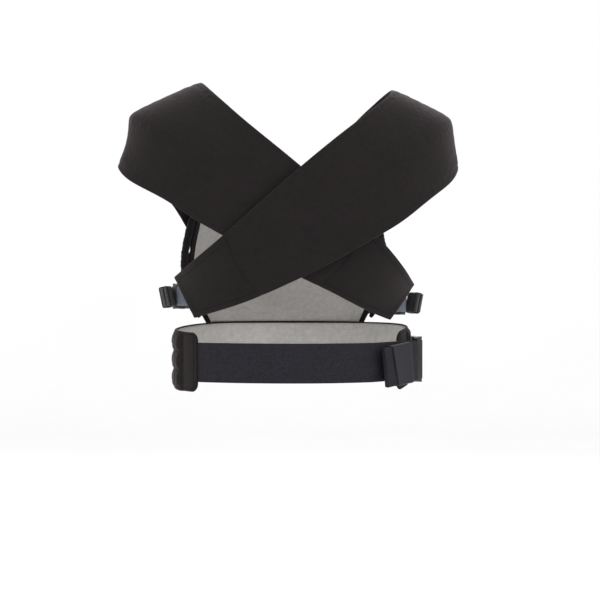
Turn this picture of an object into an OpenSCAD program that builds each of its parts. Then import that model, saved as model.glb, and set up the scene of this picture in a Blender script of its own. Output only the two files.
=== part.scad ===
// Soft baby carrier, worn: two wide straps cross on the wearer's back and clip
// to the sides of a padded body panel, which stands on a padded waistband.
// Millimetres. +Z is up, +Y is forward from the wearer, +X is to their right.
// The origin is the middle of the wearer's waist, level with the waist webbing.

/* [Wearer's waist] */
// Half of the waist's width
waist_half_width = 146; // [145:0.5:147]
// Half of the waist's depth, front to back
waist_half_depth = 104; // [102:0.5:106]

/* [Waistband] */
// Height of the padded waistband
band_height = 74; // [68:1:80]
// Thickness of the waistband where it is filled with foam
band_thickness = 10.8; // [10:0.2:11]
// How much the waistband rises from its ends to its front
band_rise = 12; // [6:1:14]

/* [Fabric] */
// Thickness of one layer of carrier fabric
fabric = 1.4; // [1:0.1:1.4]
// Thickness of the webbing
webbing = 1.6; // [1.4:0.1:1.7]
// Thickness of the elastic keepers
elastic = 1.2; // [0.8:0.1:1.4]
// Total thickness of the body panel
panel_thickness = 8; // [6:0.5:9]
// Total thickness of a strap where it is padded
strap_thickness = 7; // [6:0.5:8]
// Total thickness of the head support
head_thickness = 8.4; // [7:0.2:9]

/* [Side buckles] */
// Width of the side webbing
side_web = 25; // [24:0.5:26]
// Height of the left side buckle above the origin
left_buckle_z = 84; // [80:1:88]
// Height of the right side buckle above the origin
right_buckle_z = 76; // [73:1:81]

/* [Waist buckle] */
// Width of the waist webbing
waist_web = 50; // [48:0.5:51]
// Height of the waist buckle above the origin
waist_buckle_z = 2; // [-2:1:4]

/* [Hidden] */

gap = 0.3;                 // air between layers that are sewn together
fabric_black = "#262424";
lining_grey = "#8d8b8a";
webbing_navy = "#2f3038";
webbing_grey = "#5b5f66";
elastic_black = "#2a2b2a";
plastic_black = "#1f1f20";
foam_white = "#e4e1da";

// ---------------------------------------------------------------- curves

function mix(a, b, t) = a + (b - a) * t;
function clamp01(t) = min(max(t, 0), 1);
function smooth(a, b, x) = let (t = clamp01((x - a) / (b - a))) t * t * (3 - 2 * t);
function steps(a, b, n) = [for (i = [0 : n]) mix(a, b, i / n)];

// Catmull-Rom curve through rows of numbers; t runs from 0 to 1.
function through(rows, t) =
    let (
        n = len(rows) - 1,
        s = min(max(t * n, 0), n - 1e-6),
        i = floor(s),
        f = s - i,
        p = [for (k = [-1 : 2]) rows[min(max(i + k, 0), n)]]
    )
    0.5 * (2 * p[1] + (p[2] - p[0]) * f
        + (2 * p[0] - 5 * p[1] + 4 * p[2] - p[3]) * f * f
        + (3 * p[1] - p[0] - 3 * p[2] + p[3]) * f * f * f);

// Unit normal of a surface surf(u, v), by small steps.
function normal_of(surf, u, v) =
    let (
        e = 1e-3,
        du = surf(min(u + e, 1), v) - surf(max(u - e, 0), v),
        dv = surf(u, v + e) - surf(u, v - e),
        n = cross(du, dv)
    )
    n / norm(n);

// ---------------------------------------------------------------- solids

// A closed solid between two offsets, low and high, of surf over us x vs.
module slab(surf, us, vs, low, high) {
    m = len(vs);
    n = len(us);
    side = function (off) [
        for (u = us, v = vs) surf(u, v) + off(u, v) * normal_of(surf, u, v)
    ];
    at = function (i, j, s) s * n * m + i * m + j;
    quad = function (a, b, c, d) [[a, b, c], [a, c, d]];
    faces = [
        for (i = [0 : n - 2], j = [0 : m - 2]) each concat(
            quad(at(i, j, 1), at(i, j + 1, 1), at(i + 1, j + 1, 1), at(i + 1, j, 1)),
            quad(at(i, j, 0), at(i + 1, j, 0), at(i + 1, j + 1, 0), at(i, j + 1, 0))
        ),
        for (i = [0 : n - 2]) each concat(
            quad(at(i, 0, 0), at(i, 0, 1), at(i + 1, 0, 1), at(i + 1, 0, 0)),
            quad(at(i, m - 1, 0), at(i + 1, m - 1, 0), at(i + 1, m - 1, 1), at(i, m - 1, 1))
        ),
        for (j = [0 : m - 2]) each concat(
            quad(at(0, j, 0), at(0, j + 1, 0), at(0, j + 1, 1), at(0, j, 1)),
            quad(at(n - 1, j, 0), at(n - 1, j, 1), at(n - 1, j + 1, 1), at(n - 1, j + 1, 0))
        )
    ];
    polyhedron(concat(side(low), side(high)), faces);
}

// A round tube of radius r(t) along line(t), closed at both ends.
module tube(line, r, rings, sides) {
    ring = function (t)
        let (
            ahead = line(min(t + 0.01, 1)) - line(max(t - 0.01, 0)),
            d = ahead / norm(ahead),
            across = cross(d, [0, 1, 0]),
            a = across / norm(across),
            b = cross(d, a)
        )
        [for (k = [0 : sides - 1]) line(t) + r(t) * (a * cos(k * 360 / sides) + b * sin(k * 360 / sides))];
    points = [for (i = [0 : rings]) each ring(i / rings)];
    faces = concat(
        [[for (k = [0 : sides - 1]) k]],
        [for (i = [0 : rings - 1], k = [0 : sides - 1])
            let (a = i * sides + k, b = i * sides + (k + 1) % sides)
            each [[a, a + sides, b], [b, a + sides, b + sides]]],
        [[for (k = [sides - 1 : -1 : 0]) rings * sides + k]]
    );
    polyhedron(points, faces);
}

// Outline of a strip of thickness t along a flat path.
function strip(path, t) =
    let (
        n = len(path) - 1,
        side = function (s) [
            for (i = [0 : n])
                let (
                    a = path[i] - path[max(i - 1, 0)],
                    b = path[min(i + 1, n)] - path[i],
                    ua = norm(a) > 0 ? a / norm(a) : b / norm(b),
                    ub = norm(b) > 0 ? b / norm(b) : a / norm(a),
                    w = ua + ub,
                    d = w / norm(w),
                    stretch = 1 / max(d * ua, 0.5)
                )
                path[i] + s * t / 2 * stretch * [-d[1], d[0]]
        ],
        left = side(1),
        right = side(-1)
    )
    concat(left, [for (i = [n : -1 : 0]) right[i]]);

function bend(centre, r, from, to, n) =
    [for (a = steps(from, to, n)) centre + r * [cos(a), sin(a)]];

// Webbing that stands on edge: a flat path seen from above, w tall about z.
module on_edge(path, z, w, t = webbing)
    translate([0, 0, z - w / 2]) linear_extrude(w) polygon(strip(path, t));

// ---------------------------------------------------------------- waist ring

function ring_at(phi, off) =
    [(waist_half_width + off) * cos(phi), (waist_half_depth + off) * sin(phi)];

// Directions round the waist: 0 is the wearer's right, 90 is the front.
band_from = -29;
band_to = 212;
flat_end = 0.055;          // share of the waistband at each end that has no foam
end_corner = 0.02;         // share of the waistband that its rounded corners take
band_stations = concat([0, 0.003, 0.009, end_corner], steps(0.035, 0.965, 44),
    [1 - end_corner, 0.991, 0.997, 1]);

function band_middle(u) = band_rise * (u < 0.5 ? 1 - pow(2 * u - 1, 4) : smooth(1, 0.6, u));
function band_half(u) =
    let (d = clamp01(min(u, 1 - u) / end_corner))
    band_height / 2 - 10 * (1 - sqrt(1 - pow(1 - d, 2)));
band_surface = function (u, v)
    let (p = ring_at(mix(band_from, band_to, u), 0))
    [p[0], p[1], band_middle(u) + v * band_half(u)];
function filled(u) = smooth(flat_end, flat_end + 0.04, min(u, 1 - u));
function band_face_at(u) =
    mix(gap + 2 * gap + fabric + webbing, band_thickness - fabric, filled(u));

module waistband_face() color(fabric_black)
    slab(band_surface, band_stations, steps(-1, 1, 4),
        function (u, v) band_face_at(u), function (u, v) band_face_at(u) + fabric);

module waistband_backing() color(lining_grey)
    slab(band_surface, band_stations, steps(-1, 1, 4),
        function (u, v) gap, function (u, v) gap + fabric);

module waistband_foam() color(foam_white)
    for (channel = [-1 : 1])
        slab(band_surface, steps(flat_end + 0.025, 0.975 - flat_end, 30),
            steps(channel * 0.63 - 0.26, channel * 0.63 + 0.26, 1),
            function (u, v) 2 * gap + fabric, function (u, v) band_face_at(u) - gap);

// ---------------------------------------------------------------- body panel

panel_arc = 60;            // half of the angle that a level slice of the panel spans
// Height, half width, depth of the side edge, and how far the middle stands out from it
panel_rows = [
    [46, 104, 91, 28],
    [88, 124, 96, 68],
    [131, 129, 99, 76],
    [174, 122, 101, 66],
    [214, 110, 103, 50],
    [250, 97, 105, 38]
];
panel_surface = function (u, v)
    let (
        r = through(panel_rows, clamp01(v)),
        a = mix(panel_arc, -panel_arc, u)
    )
    [r[1] * sin(a) / sin(panel_arc),
        r[2] + r[3] * (cos(a) - cos(panel_arc)) / (1 - cos(panel_arc)),
        r[0] + (v - clamp01(v)) * 200];

half_panel = panel_thickness / 2;

module panel_layer(low, high)
    slab(panel_surface, steps(0, 1, 18), steps(0, 1, 12),
        function (u, v) low, function (u, v) high);

module panel_shell() color(fabric_black) panel_layer(half_panel - fabric, half_panel);
module panel_foam() color(foam_white)
    panel_layer(fabric + gap - half_panel, half_panel - fabric - gap);
module panel_lining() color(lining_grey) panel_layer(-half_panel, fabric - half_panel);

// The padded roll along the panel's side edge, where a leg rests.
leg_pad_r = 5.5;
module leg_pad(side) color(fabric_black)
    tube(
        function (t)
            let (p = panel_surface(side > 0 ? 0 : 1, mix(0.06, 0.72, t)))
            p + [side * (leg_pad_r + 0.9), -3.3, 0],
        function (t) mix(2.5, leg_pad_r, sqrt(clamp01(6 * min(t, 1 - t)))),
        24, 10
    );

// The head support hangs over the outside of the panel's top edge.
head_from = 0.47;
head_to = 0.975;
head_shoulder = 0.8;       // above this it narrows, to pass between the straps' seams
head_neck = 0.87;
function head_low(v) = half_panel + 1.6 + (strap_thickness + 2) * smooth(0.96, 0.88, v);
function head_half(v) = mix(0.36, 0.17, smooth(head_shoulder, head_neck, v));
head_surface = function (s, v) panel_surface(0.5 + (2 * s - 1) * head_half(v), v);
head_stations = concat(steps(head_from, head_shoulder, 5),
    steps(head_shoulder + 0.0175, head_neck, 3), steps(0.9, head_to, 3));
module head_layer(low, high)
    slab(head_surface, steps(0, 1, 12), head_stations,
        function (s, v) head_low(v) + low, function (s, v) head_low(v) + high);
module head_support_face() color(fabric_black)
    head_layer(head_thickness - fabric, head_thickness);
module head_support_foam() color(foam_white)
    head_layer(fabric + gap, head_thickness - fabric - gap);
module head_support_lining() color(lining_grey) head_layer(0, fabric);

// ---------------------------------------------------------------- straps

// Three lines down the right strap, from its seam on the panel, over the right
// shoulder and across the back to the left side. The left strap is close to their mirror.
strap_inner = [
    [50, 150, 232], [70, 134, 274], [93, 102, 314], [118, 54, 341], [130, 2, 352],
    [121, -46, 341], [88, -86, 315], [45, -110, 282], [0, -121, 245], [-50, -121, 201],
    [-98, -110, 158], [-132, -74, 128], [-153.5, -28, 108]
];
strap_middle = [
    [90, 136, 208], [112, 117, 248], [148, 84, 284], [185, 40, 307], [204, -6, 314],
    [181, -58, 300], [131, -98, 268], [86, -116, 231], [41, -124, 193], [-12, -124, 158],
    [-62, -114, 125], [-104, -90, 101], [-142, -48, 82]
];
strap_outer = [
    [128, 114, 172], [152, 88, 208], [184, 50, 237], [207, 14, 253], [214, -20, 251],
    [200, -54, 232], [166, -89, 207], [127, -110, 178], [88, -119, 155], [44, -120, 130],
    [-8, -117, 104], [-70, -103, 77], [-130, -62, 57]
];
right_seam = 0.855;        // where each strap's tapered end is sewn on
left_seam = 0.82;
seam_slant = 0.033;        // how much further along the seam is at the outer edge than midway
shoulder = 0.37;           // where the strap lies on top of the shoulder
shoulder_span = 0.13;      // share of the strap that lies on it, to either side
shoulder_dip = 2;          // how far the strap sinks there, between its middle and its outer edge
// How much nearer the body the left strap lies, by place along it
left_drop = [0, 0, 0, 0, 0, 0, 2, 10, 11, 8, 5, 2, 0];

function near_shoulder(u) = exp(-pow((u - shoulder) / shoulder_span, 2));
// A curve from a at v = -1 to c at v = 1. It turns at b, sharply where r is small.
function across(a, b, c, v, r) =
    let (bow = (sqrt(v * v + r * r) - r) / (sqrt(1 + r * r) - r))
    b + v * (c - a) / 2 + bow * ((a + c) / 2 - b);
function squared(u, v, seam) =
    u + v * seam_slant * smooth(0.6, seam, u) * (1 - smooth(seam, 1, u));
function dip(v) = 4 * clamp01(v) * (1 - clamp01(v));
function strap_at(u, v, seam) =
    let (w = squared(u, v, seam), near = near_shoulder(u))
    across(through(strap_inner, w), through(strap_middle, w), through(strap_outer, w), v,
        0.3 - 0.18 * near) - near * [shoulder_dip * dip(v), 0, 0];
right_strap_surface = function (u, v) strap_at(u, v, right_seam);
// The left strap lies a little higher by the neck and further out over the arm, and
// its end is turned a little.
left_strap_surface = function (u, v)
    let (
        near = near_shoulder(u),
        low = min(v, 0),
        p = strap_at(u, v, left_seam)
            + near * [3 + 8.5 * v + 5.5 * low - 4.5 * dip(v), 0, 1 - 3 * v - 3 * low]
            + smooth(left_seam, 1, u) * [4.2 + 6.2 * v, 0, 3 * v - 5.7]
    )
    [-p[0], p[1] + through(left_drop, u), p[2]];

function strap_half(u) = mix(strap_thickness, 2 * fabric + 2 * gap, smooth(0.42, 0.62, u)) / 2;
function strap_stations(seam) = concat([0.001], steps(0.025, seam - 0.002, 33));
function pad_stations(seam) = [for (u = strap_stations(seam)) if (u > 0.02 && u < 0.54) u];
pad_columns = concat([-0.9], steps(-2 / 3, 2 / 3, 4), [0.9]);

module strap_layer(surf, stations, low, high)
    slab(surf, stations, steps(-1, 1, 6), low, high);

// flip is 1 where the surface's normal points away from the wearer, and -1 where it points in.
module strap_face(surf, seam, flip) color(fabric_black)
    if (flip > 0)
        strap_layer(surf, strap_stations(seam), function (u, v) strap_half(u) - fabric,
            function (u, v) strap_half(u));
    else
        strap_layer(surf, strap_stations(seam), function (u, v) -strap_half(u),
            function (u, v) fabric - strap_half(u));

module strap_lining(surf, seam, flip) strap_face(surf, seam, -flip);

module strap_pad(surf, seam) color(foam_white)
    slab(surf, pad_stations(seam), pad_columns,
        function (u, v) fabric + 2 * gap - strap_half(u),
        function (u, v) strap_half(u) - fabric - 2 * gap);

module strap_end(surf, seam) color(fabric_black)
    strap_layer(surf, steps(seam + 0.002, 1, 7), function (u, v) -fabric,
        function (u, v) fabric);

// ---------------------------------------------------------------- buckles

// A side-release buckle lies along x: the plug is behind x = 0 and the socket ahead of it.
// y is its width and z points out from the wearer.
// [webbing, width, thickness, socket length, plug length, wall, window from, window to]
side_buckle = [side_web, side_web + 8, 9.5, 34, 21, 1.7, 8, 21];
waist_buckle = [waist_web, waist_web + 9, 11, 42, 26, 2, 10, 27];

function inside_w(b) = b[1] - 2 * b[5];
function inside_t(b) = b[2] - 2 * b[5];
function latch_root(b) = b[5] - 0.1;                       // radius of a latch's round root
function latch_y(b) = inside_w(b) / 2 - b[5] / 2 - 0.7;
function latch_x(b) = -latch_root(b) - 1.2;
function load_z(b) = -b[2] / 2 + 0.3 + webbing / 2;        // the webbing that carries the load
function tail_z(b) = load_z(b) + webbing + gap;            // its tail, just outside it
function bar_z(b) = tail_z(b) + webbing / 2 + gap;
function bar_t(b) = b[5] + 1.8;
function over_z(b) = bar_z(b) + bar_t(b) + webbing / 2 + 0.2;
rear_bar = 4;
slot = 3.5;
middle_bar = 3;

function both_sides(half) = concat(half, [for (i = [len(half) - 1 : -1 : 0]) [half[i][0], -half[i][1]]]);

module socket(b) color(plastic_black) {
    w = b[1] / 2;
    pinch = 2.2;
    difference() {
        linear_extrude(b[2], center = true) polygon(both_sides([
            [0, w - 1], [1, w], [b[6] - 2, w], [b[6] + 1, w - pinch], [b[7] - 1, w - pinch],
            [b[7] + 2, w], [b[3] - 4, w], [b[3] - 1.2, w - 1.2], [b[3], w - 4]
        ]));
        translate([-1, -inside_w(b) / 2, -inside_t(b) / 2])
            cube([b[7] + 2.5, inside_w(b), inside_t(b)]);
        for (s = [-1, 1])
            translate([b[6], s * w - 3.5, -inside_t(b) / 2])
                cube([b[7] - b[6], 7, inside_t(b)]);
        translate([b[3] - 8.5, -b[0] / 2 - 1, -b[2]]) cube([4.5, b[0] + 2, 2 * b[2]]);
        for (s = [-1, 1])
            translate([b[3] - 8.5, -b[0] / 2 - 1, s * (b[2] / 2 + 2) - b[2] / 2])
                cube([10, b[0] + 2, b[2]]);
        for (s = [-1, 1], k = [0 : 2])
            translate([b[6] + 2 + 3.2 * k, 0, s * b[2] / 2])
                rotate([90, 0, 0]) cylinder(r = 0.5, h = b[1] / 2, center = true, $fn = 24);
    }
}

module plug(b) color(plastic_black) {
    w = b[1] / 2;
    len = b[4];
    window = b[0] / 2 + 1;
    difference() {
        union() {
            linear_extrude(b[2], center = true) polygon(both_sides([
                [-len, w - 4], [-len + 1.2, w - 1.2], [-len + 4, w], [-1, w], [-0.2, w - 1]
            ]));
            translate([-0.3, -b[5] - 0.8, -inside_t(b) / 2 + 0.4])
                cube([b[7] - 2, 2 * b[5] + 1.6, inside_t(b) - 0.8]);
        }
        // the ladder: two slots, with everything but the bars cut away
        for (x = [-len + rear_bar, -len + rear_bar + slot + middle_bar])
            translate([x, -window, -b[2]]) cube([slot, 2 * window, 2 * b[2]]);
        translate([-len - 1, -window, -b[2]])
            cube([rear_bar + 2 * slot + middle_bar + 1, 2 * window, b[2] + bar_z(b)]);
        translate([-len + rear_bar - 0.1, -window, bar_z(b) + bar_t(b)])
            cube([2 * slot + middle_bar + 0.1, 2 * window, b[2]]);
        // the rear bar is as high as the plug, with its outer corners cut off
        for (s = [-1, 1])
            translate([-len - 1, 0, 0]) rotate([90, 0, 90]) linear_extrude(rear_bar + 1) polygon([
                [s * (w + 1), b[2] / 2 + 1], [s * (w + 1), b[2] * 0.05 - 1],
                [s * (w - b[2] * 0.45 - 1), b[2] / 2 + 1]
            ]);
        // round seats for the roots of the two latches
        for (s = [-1, 1]) {
            translate([latch_x(b), s * latch_y(b), 0])
                cylinder(r = latch_root(b) + 0.08, h = inside_t(b), center = true, $fn = 48);
            translate([latch_x(b), s * latch_y(b) - b[5] / 2 - 0.65, -inside_t(b) / 2])
                cube([-latch_x(b) + 1, b[5] + 1.3, inside_t(b)]);
        }
    }
}

// One springy arm of the plug, s = 1 for the upper one. Its pad shows in the socket's window.
module latch(b, s) color(plastic_black) {
    y = latch_y(b);
    half = b[5] / 2;
    linear_extrude(inside_t(b) - 0.8, center = true) mirror([0, s < 0 ? 1 : 0]) union() {
        translate([latch_x(b), y]) circle(r = latch_root(b), $fn = 48);
        polygon([
            [latch_x(b), y - half], [b[6] + 1, y - half - 0.4], [b[7] - 3, y - half - 0.8],
            [b[7] - 0.8, y - half + 0.4], [b[7] - 0.8, y + half], [b[7] - 3, b[1] / 2 - 0.8],
            [b[7] - 6, b[1] / 2 + 0.3], [b[6] + 3, b[1] / 2 + 0.3], [b[6] + 0.6, b[1] / 2 - 0.6],
            [b[6] + 0.6, y + half], [latch_x(b), y + half]
        ]);
    }
}

// Where a buckle lies: [place in plan, direction of x in degrees, height]
side_place = [[144, 44], 108];
waist_place = [[162.6, 6], 91];

module laid(place, z) translate([place[0][0], place[0][1], z])
    rotate([0, 0, place[1]]) rotate([90, 0, 0]) children();

// A point of the plane that a buckle's x and z span, in plan.
function in_plan(place, x, z) =
    place[0] + x * [cos(place[1]), sin(place[1])] + z * [sin(place[1]), -cos(place[1])];

// The end of the loaded webbing: under the bars, up, over the middle bar and down again.
function threaded(b, place) =
    let (
        up = -b[4] + rear_bar + middle_bar + 1.5 * slot,
        down = -b[4] + rear_bar + slot / 2,
        back = -b[4] - 6
    )
    [for (p = [
        [back, load_z(b)], [up - 1, load_z(b)], [up, load_z(b) + 1], [up, over_z(b) - 1],
        [up - 1, over_z(b)], [down + 1, over_z(b)], [down, over_z(b) - 1],
        [down, tail_z(b) + webbing / 2 + gap]
    ]) in_plan(place, p[0], p[1])];

// The tail's first stretch: out of the outer slot and under the rear bar.
function tail_start(b, place) =
    [for (x = [-b[4] + rear_bar + slot - 1.2, -b[4] - 4]) in_plan(place, x, tail_z(b))];

// Layers of folded webbing after a first point: each is pitch further out than the last.
function folded(place, first, last, layers, pitch) =
    [for (k = [0 : layers - 1]) each
        let (
            forward = k % 2 == 0,
            z = k * pitch,
            run = forward ? [first, last] : [last, first],
            turn = forward ? bend([last, z + pitch / 2], pitch / 2, -90, -270, 6)
                : bend([first, z + pitch / 2], pitch / 2, -90, 90, 6)
        )
        [for (p = k == layers - 1 ? [[mix(run[0], run[1], 0.8), z]] : turn)
            in_plan(place, p[0], p[1])]];

// ---------------------------------------------------------------- side straps' ends

fold_pitch = webbing + 0.5;
side_fold_from = -side_buckle[4] - 8;
side_fold_to = side_fold_from - 28;

side_fold_lean = 8;        // degrees that the folded end's top leans out

side_fold_place = [in_plan(side_place, 0, tail_z(side_buckle)), side_place[1]];

// tuck is how much nearer the wearer the webbing starts than the right strap's end needs.
module side_webbing(z, tuck) color(webbing_grey)
    on_edge(concat([[122, -69] - tuck * [0.8, -0.6], [135, -51] - tuck * [0.8, -0.6],
        [144, -31] - tuck * [0.4, -0.1], [148, -10], [147.4, 6]],
        threaded(side_buckle, side_place)), z, side_web);

// The free end of the webbing, from the plug to its fold.
module side_tail(z) color(webbing_grey)
    on_edge(concat(tail_start(side_buckle, side_place),
        [in_plan(side_fold_place, side_fold_from + gap, 0)]), z, side_web);

// Turns children about a level line that runs along place, at height z.
module leaned(place, z, angle) translate([place[0][0], place[0][1], z])
    rotate(a = angle, v = [cos(place[1]), sin(place[1]), 0])
        translate([-place[0][0], -place[0][1], -z]) children();

module side_tail_fold(z, layers) color(webbing_grey)
    leaned(side_fold_place, z - side_web / 2, side_fold_lean)
        on_edge(concat([in_plan(side_fold_place, side_fold_from, 0)],
            folded(side_fold_place, side_fold_from, side_fold_to, layers, fold_pitch)),
            z, side_web);

// A flat band of elastic, len long, round a bundle that spans from low to high.
module keeper(place, z, x, len, low, high, w) color(elastic_black)
    translate([0, 0, z]) laid(place, 0) difference() {
        translate([x, -w / 2 - elastic - gap, low - elastic - gap])
            cube([len, w + 2 * elastic + 2 * gap, high - low + 2 * elastic + 2 * gap]);
        translate([x - 1, -w / 2 - gap, low - gap])
            cube([len + 2, w + 2 * gap, high - low + 2 * gap]);
    }

module side_keeper(z, layers)
    leaned(side_fold_place, z - side_web / 2, side_fold_lean)
        keeper(side_fold_place, z, side_fold_to + 3, 20, -webbing / 2,
            (layers - 1) * fold_pitch + webbing / 2, side_web);

// From the socket's bar to the roll at the panel's edge.
anchor_start = [138.6, 91];
module side_socket_webbing(z) color(webbing_grey) {
    bar = side_buckle[3] - 2;
    on_edge([
        in_plan(side_place, bar - 4.4, -1), in_plan(side_place, bar - 4.4, 2.2),
        in_plan(side_place, bar - 3, 3.5), in_plan(side_place, bar + 3, 3.5), anchor_start
    ], z, side_web);
}

// The same webbing over the roll and onto the panel, where it is sewn down.
panel_climb = 212;         // height gained along the panel's side edge, per unit of v
function panel_v(z) = (z - panel_rows[0][0]) / panel_climb;
function on_panel(u, v, off) = panel_surface(u, v) + off * normal_of(panel_surface, u, v);
module side_anchor(z) color(webbing_grey) {
    lies = half_panel + 1.5 + webbing / 2;
    edge = function (s)
        let (h = z + s * side_web / 2, v = panel_v(h))
        [[anchor_start[0], anchor_start[1] + gap, h], [139, 97, h], [134.8, 106, h],
            on_panel(0.045, v, lies + 1.5), on_panel(0.08, v, lies),
            on_panel(0.12, v, lies), on_panel(0.17, v, lies)];
    low = edge(-1);
    high = edge(1);
    surf = function (u, v) mix(through(low, u), through(high, u), (v + 1) / 2);
    slab(surf, steps(0, 1, 16), steps(-1, 1, 2),
        function (u, v) -webbing / 2, function (u, v) webbing / 2);
}

// ---------------------------------------------------------------- waist straps' ends

belt_height = 0;
function belt_off(phi) = mix(2.4, band_thickness + 2.4, smooth(-45, -8, phi));
belt_seam = 324;           // where the belt's last stretch before its buckle begins
waist_fold_place = [[147.4, -46], 42.2];
waist_layers = 4;
waist_fold_to = -51.5;
waist_fold_drop = 2.5;     // how far below the buckle the folded end starts
waist_fold_droop = 7;      // degrees that it hangs down from there
waist_fold_z = waist_buckle_z - waist_fold_drop;

module waist_webbing() color(webbing_navy)
    on_edge([for (phi = steps(band_to - 7, belt_seam, 26))
        let (start = smooth(band_to + 6, band_to - 2, phi))
        ring_at(phi, max(belt_off(phi - 360), start * (gap * 2 + fabric + webbing / 2)))],
        belt_height, waist_web);

module waist_webbing_end() color(webbing_navy)
    on_edge(concat([for (phi = steps(belt_seam + 0.2 - 360, -20, 5)) ring_at(phi, belt_off(phi))],
        threaded(waist_buckle, waist_place)), waist_buckle_z - 2 * gap, waist_web);

// Hangs children down round the start of the folded end.
module drooped() translate([waist_fold_place[0][0], waist_fold_place[0][1], waist_fold_z])
    rotate(a = waist_fold_droop, v = [sin(waist_fold_place[1]), -cos(waist_fold_place[1]), 0])
        translate([-waist_fold_place[0][0], -waist_fold_place[0][1], -waist_fold_z]) children();

module waist_tail() color(webbing_navy)
    on_edge(concat(tail_start(waist_buckle, waist_place),
        [[160.7, -31.2], in_plan(waist_fold_place, 3.8, 0)]), waist_buckle_z, waist_web);

module waist_tail_fold() color(webbing_navy) drooped()
    on_edge(concat([in_plan(waist_fold_place, 0, 0)],
        folded(waist_fold_place, 0, waist_fold_to, waist_layers, fold_pitch)),
        waist_fold_z, waist_web);

module waist_keeper() drooped()
    keeper(waist_fold_place, waist_fold_z, -36, 32, -webbing / 2,
        (waist_layers - 1) * fold_pitch + webbing / 2, waist_web);

module waist_socket_webbing() color(webbing_navy) {
    bar = waist_buckle[3] - 2;
    on_edge(concat([
        in_plan(waist_place, bar - 4.4, -1.5), in_plan(waist_place, bar - 4.4, 2.2),
        in_plan(waist_place, bar - 3, 3.6), in_plan(waist_place, bar + 3, 3.4),
        in_plan(waist_place, bar + 10, 0), [148, 67]
    ], [for (phi = steps(38, 56, 5)) ring_at(phi, band_thickness + 1.2)]),
        waist_buckle_z, waist_web - 2);
}

// ---------------------------------------------------------------- press studs

stud_r = 2.4;
stud_len = 3;
stud_cap_r = 6.5;

// Stands children on a surface at (u, v), off above it, with +Z along its normal.
module stood_on(surf, u, v, off) {
    n = sign(off) * normal_of(surf, u, v);
    translate(surf(u, v) + abs(off) * n) rotate([0, acos(n[2]), atan2(n[1], n[0])]) children();
}

module head_stud(surf, flip) color(plastic_black)
    stood_on(surf, 0.17, -0.55, flip * (strap_thickness / 2 + gap)) {
        cylinder(r = stud_cap_r, h = 1.6, $fn = 64);
        translate([0, 0, 1.6]) cylinder(r = stud_r, h = stud_len, $fn = 48);
    }

// Two caps near the free corners of the head support.
module head_snap_caps() color(plastic_black)
    for (u = [0.2, 0.8])
        stood_on(panel_surface, u, head_from + 0.05,
            head_low(head_from) + head_thickness + gap)
            cylinder(r = stud_cap_r, h = 2, $fn = 64);

// ---------------------------------------------------------------- assembly

module on_left() mirror([1, 0, 0]) children();
module side_laid(z) laid(side_place, z) children();
module waist_laid() laid(waist_place, waist_buckle_z) children();

panel_shell();
panel_foam();
panel_lining();
leg_pad(-1);  // leg_pad_left
leg_pad(1);  // leg_pad_right
head_support_face();
head_support_foam();
head_support_lining();
head_snap_caps();
head_stud(left_strap_surface, -1);  // head_stud_left
head_stud(right_strap_surface, 1);  // head_stud_right
waistband_face();
waistband_foam();
waistband_backing();
strap_face(left_strap_surface, left_seam, -1);  // left_strap_face
strap_pad(left_strap_surface, left_seam);  // left_strap_pad
strap_lining(left_strap_surface, left_seam, -1);  // left_strap_lining
strap_end(left_strap_surface, left_seam);  // left_strap_end
strap_face(right_strap_surface, right_seam, 1);  // right_strap_face
strap_pad(right_strap_surface, right_seam);  // right_strap_pad
strap_lining(right_strap_surface, right_seam, 1);  // right_strap_lining
strap_end(right_strap_surface, right_seam);  // right_strap_end
waist_webbing();
waist_webbing_end();
waist_socket_webbing();
waist_laid() socket(waist_buckle);  // waist_socket
waist_laid() plug(waist_buckle);  // waist_plug
waist_laid() latch(waist_buckle, 1);  // waist_latch_upper
waist_laid() latch(waist_buckle, -1);  // waist_latch_lower
waist_tail();
waist_tail_fold();
waist_keeper();
on_left() side_webbing(left_buckle_z, 3.5);  // left_side_webbing
on_left() side_socket_webbing(left_buckle_z);  // left_socket_webbing
on_left() side_anchor(left_buckle_z);  // left_anchor
on_left() side_laid(left_buckle_z) socket(side_buckle);  // left_socket
on_left() side_laid(left_buckle_z) plug(side_buckle);  // left_plug
on_left() side_laid(left_buckle_z) latch(side_buckle, 1);  // left_latch_upper
on_left() side_laid(left_buckle_z) latch(side_buckle, -1);  // left_latch_lower
on_left() side_tail(left_buckle_z);  // left_tail
on_left() side_tail_fold(left_buckle_z, 5);  // left_tail_fold
on_left() side_keeper(left_buckle_z, 5);  // left_keeper
side_webbing(right_buckle_z, 9.5);  // right_side_webbing
side_socket_webbing(right_buckle_z);  // right_socket_webbing
side_anchor(right_buckle_z);  // right_anchor
side_laid(right_buckle_z) socket(side_buckle);  // right_socket
side_laid(right_buckle_z) plug(side_buckle);  // right_plug
side_laid(right_buckle_z) latch(side_buckle, 1);  // right_latch_upper
side_laid(right_buckle_z) latch(side_buckle, -1);  // right_latch_lower
side_tail(right_buckle_z);  // right_tail
side_tail_fold(right_buckle_z, 4);  // right_tail_fold
side_keeper(right_buckle_z, 4);  // right_keeper
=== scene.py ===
import math
from functools import reduce

import bmesh
import bpy
import numpy as np
from mathutils import Matrix, Vector


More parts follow.
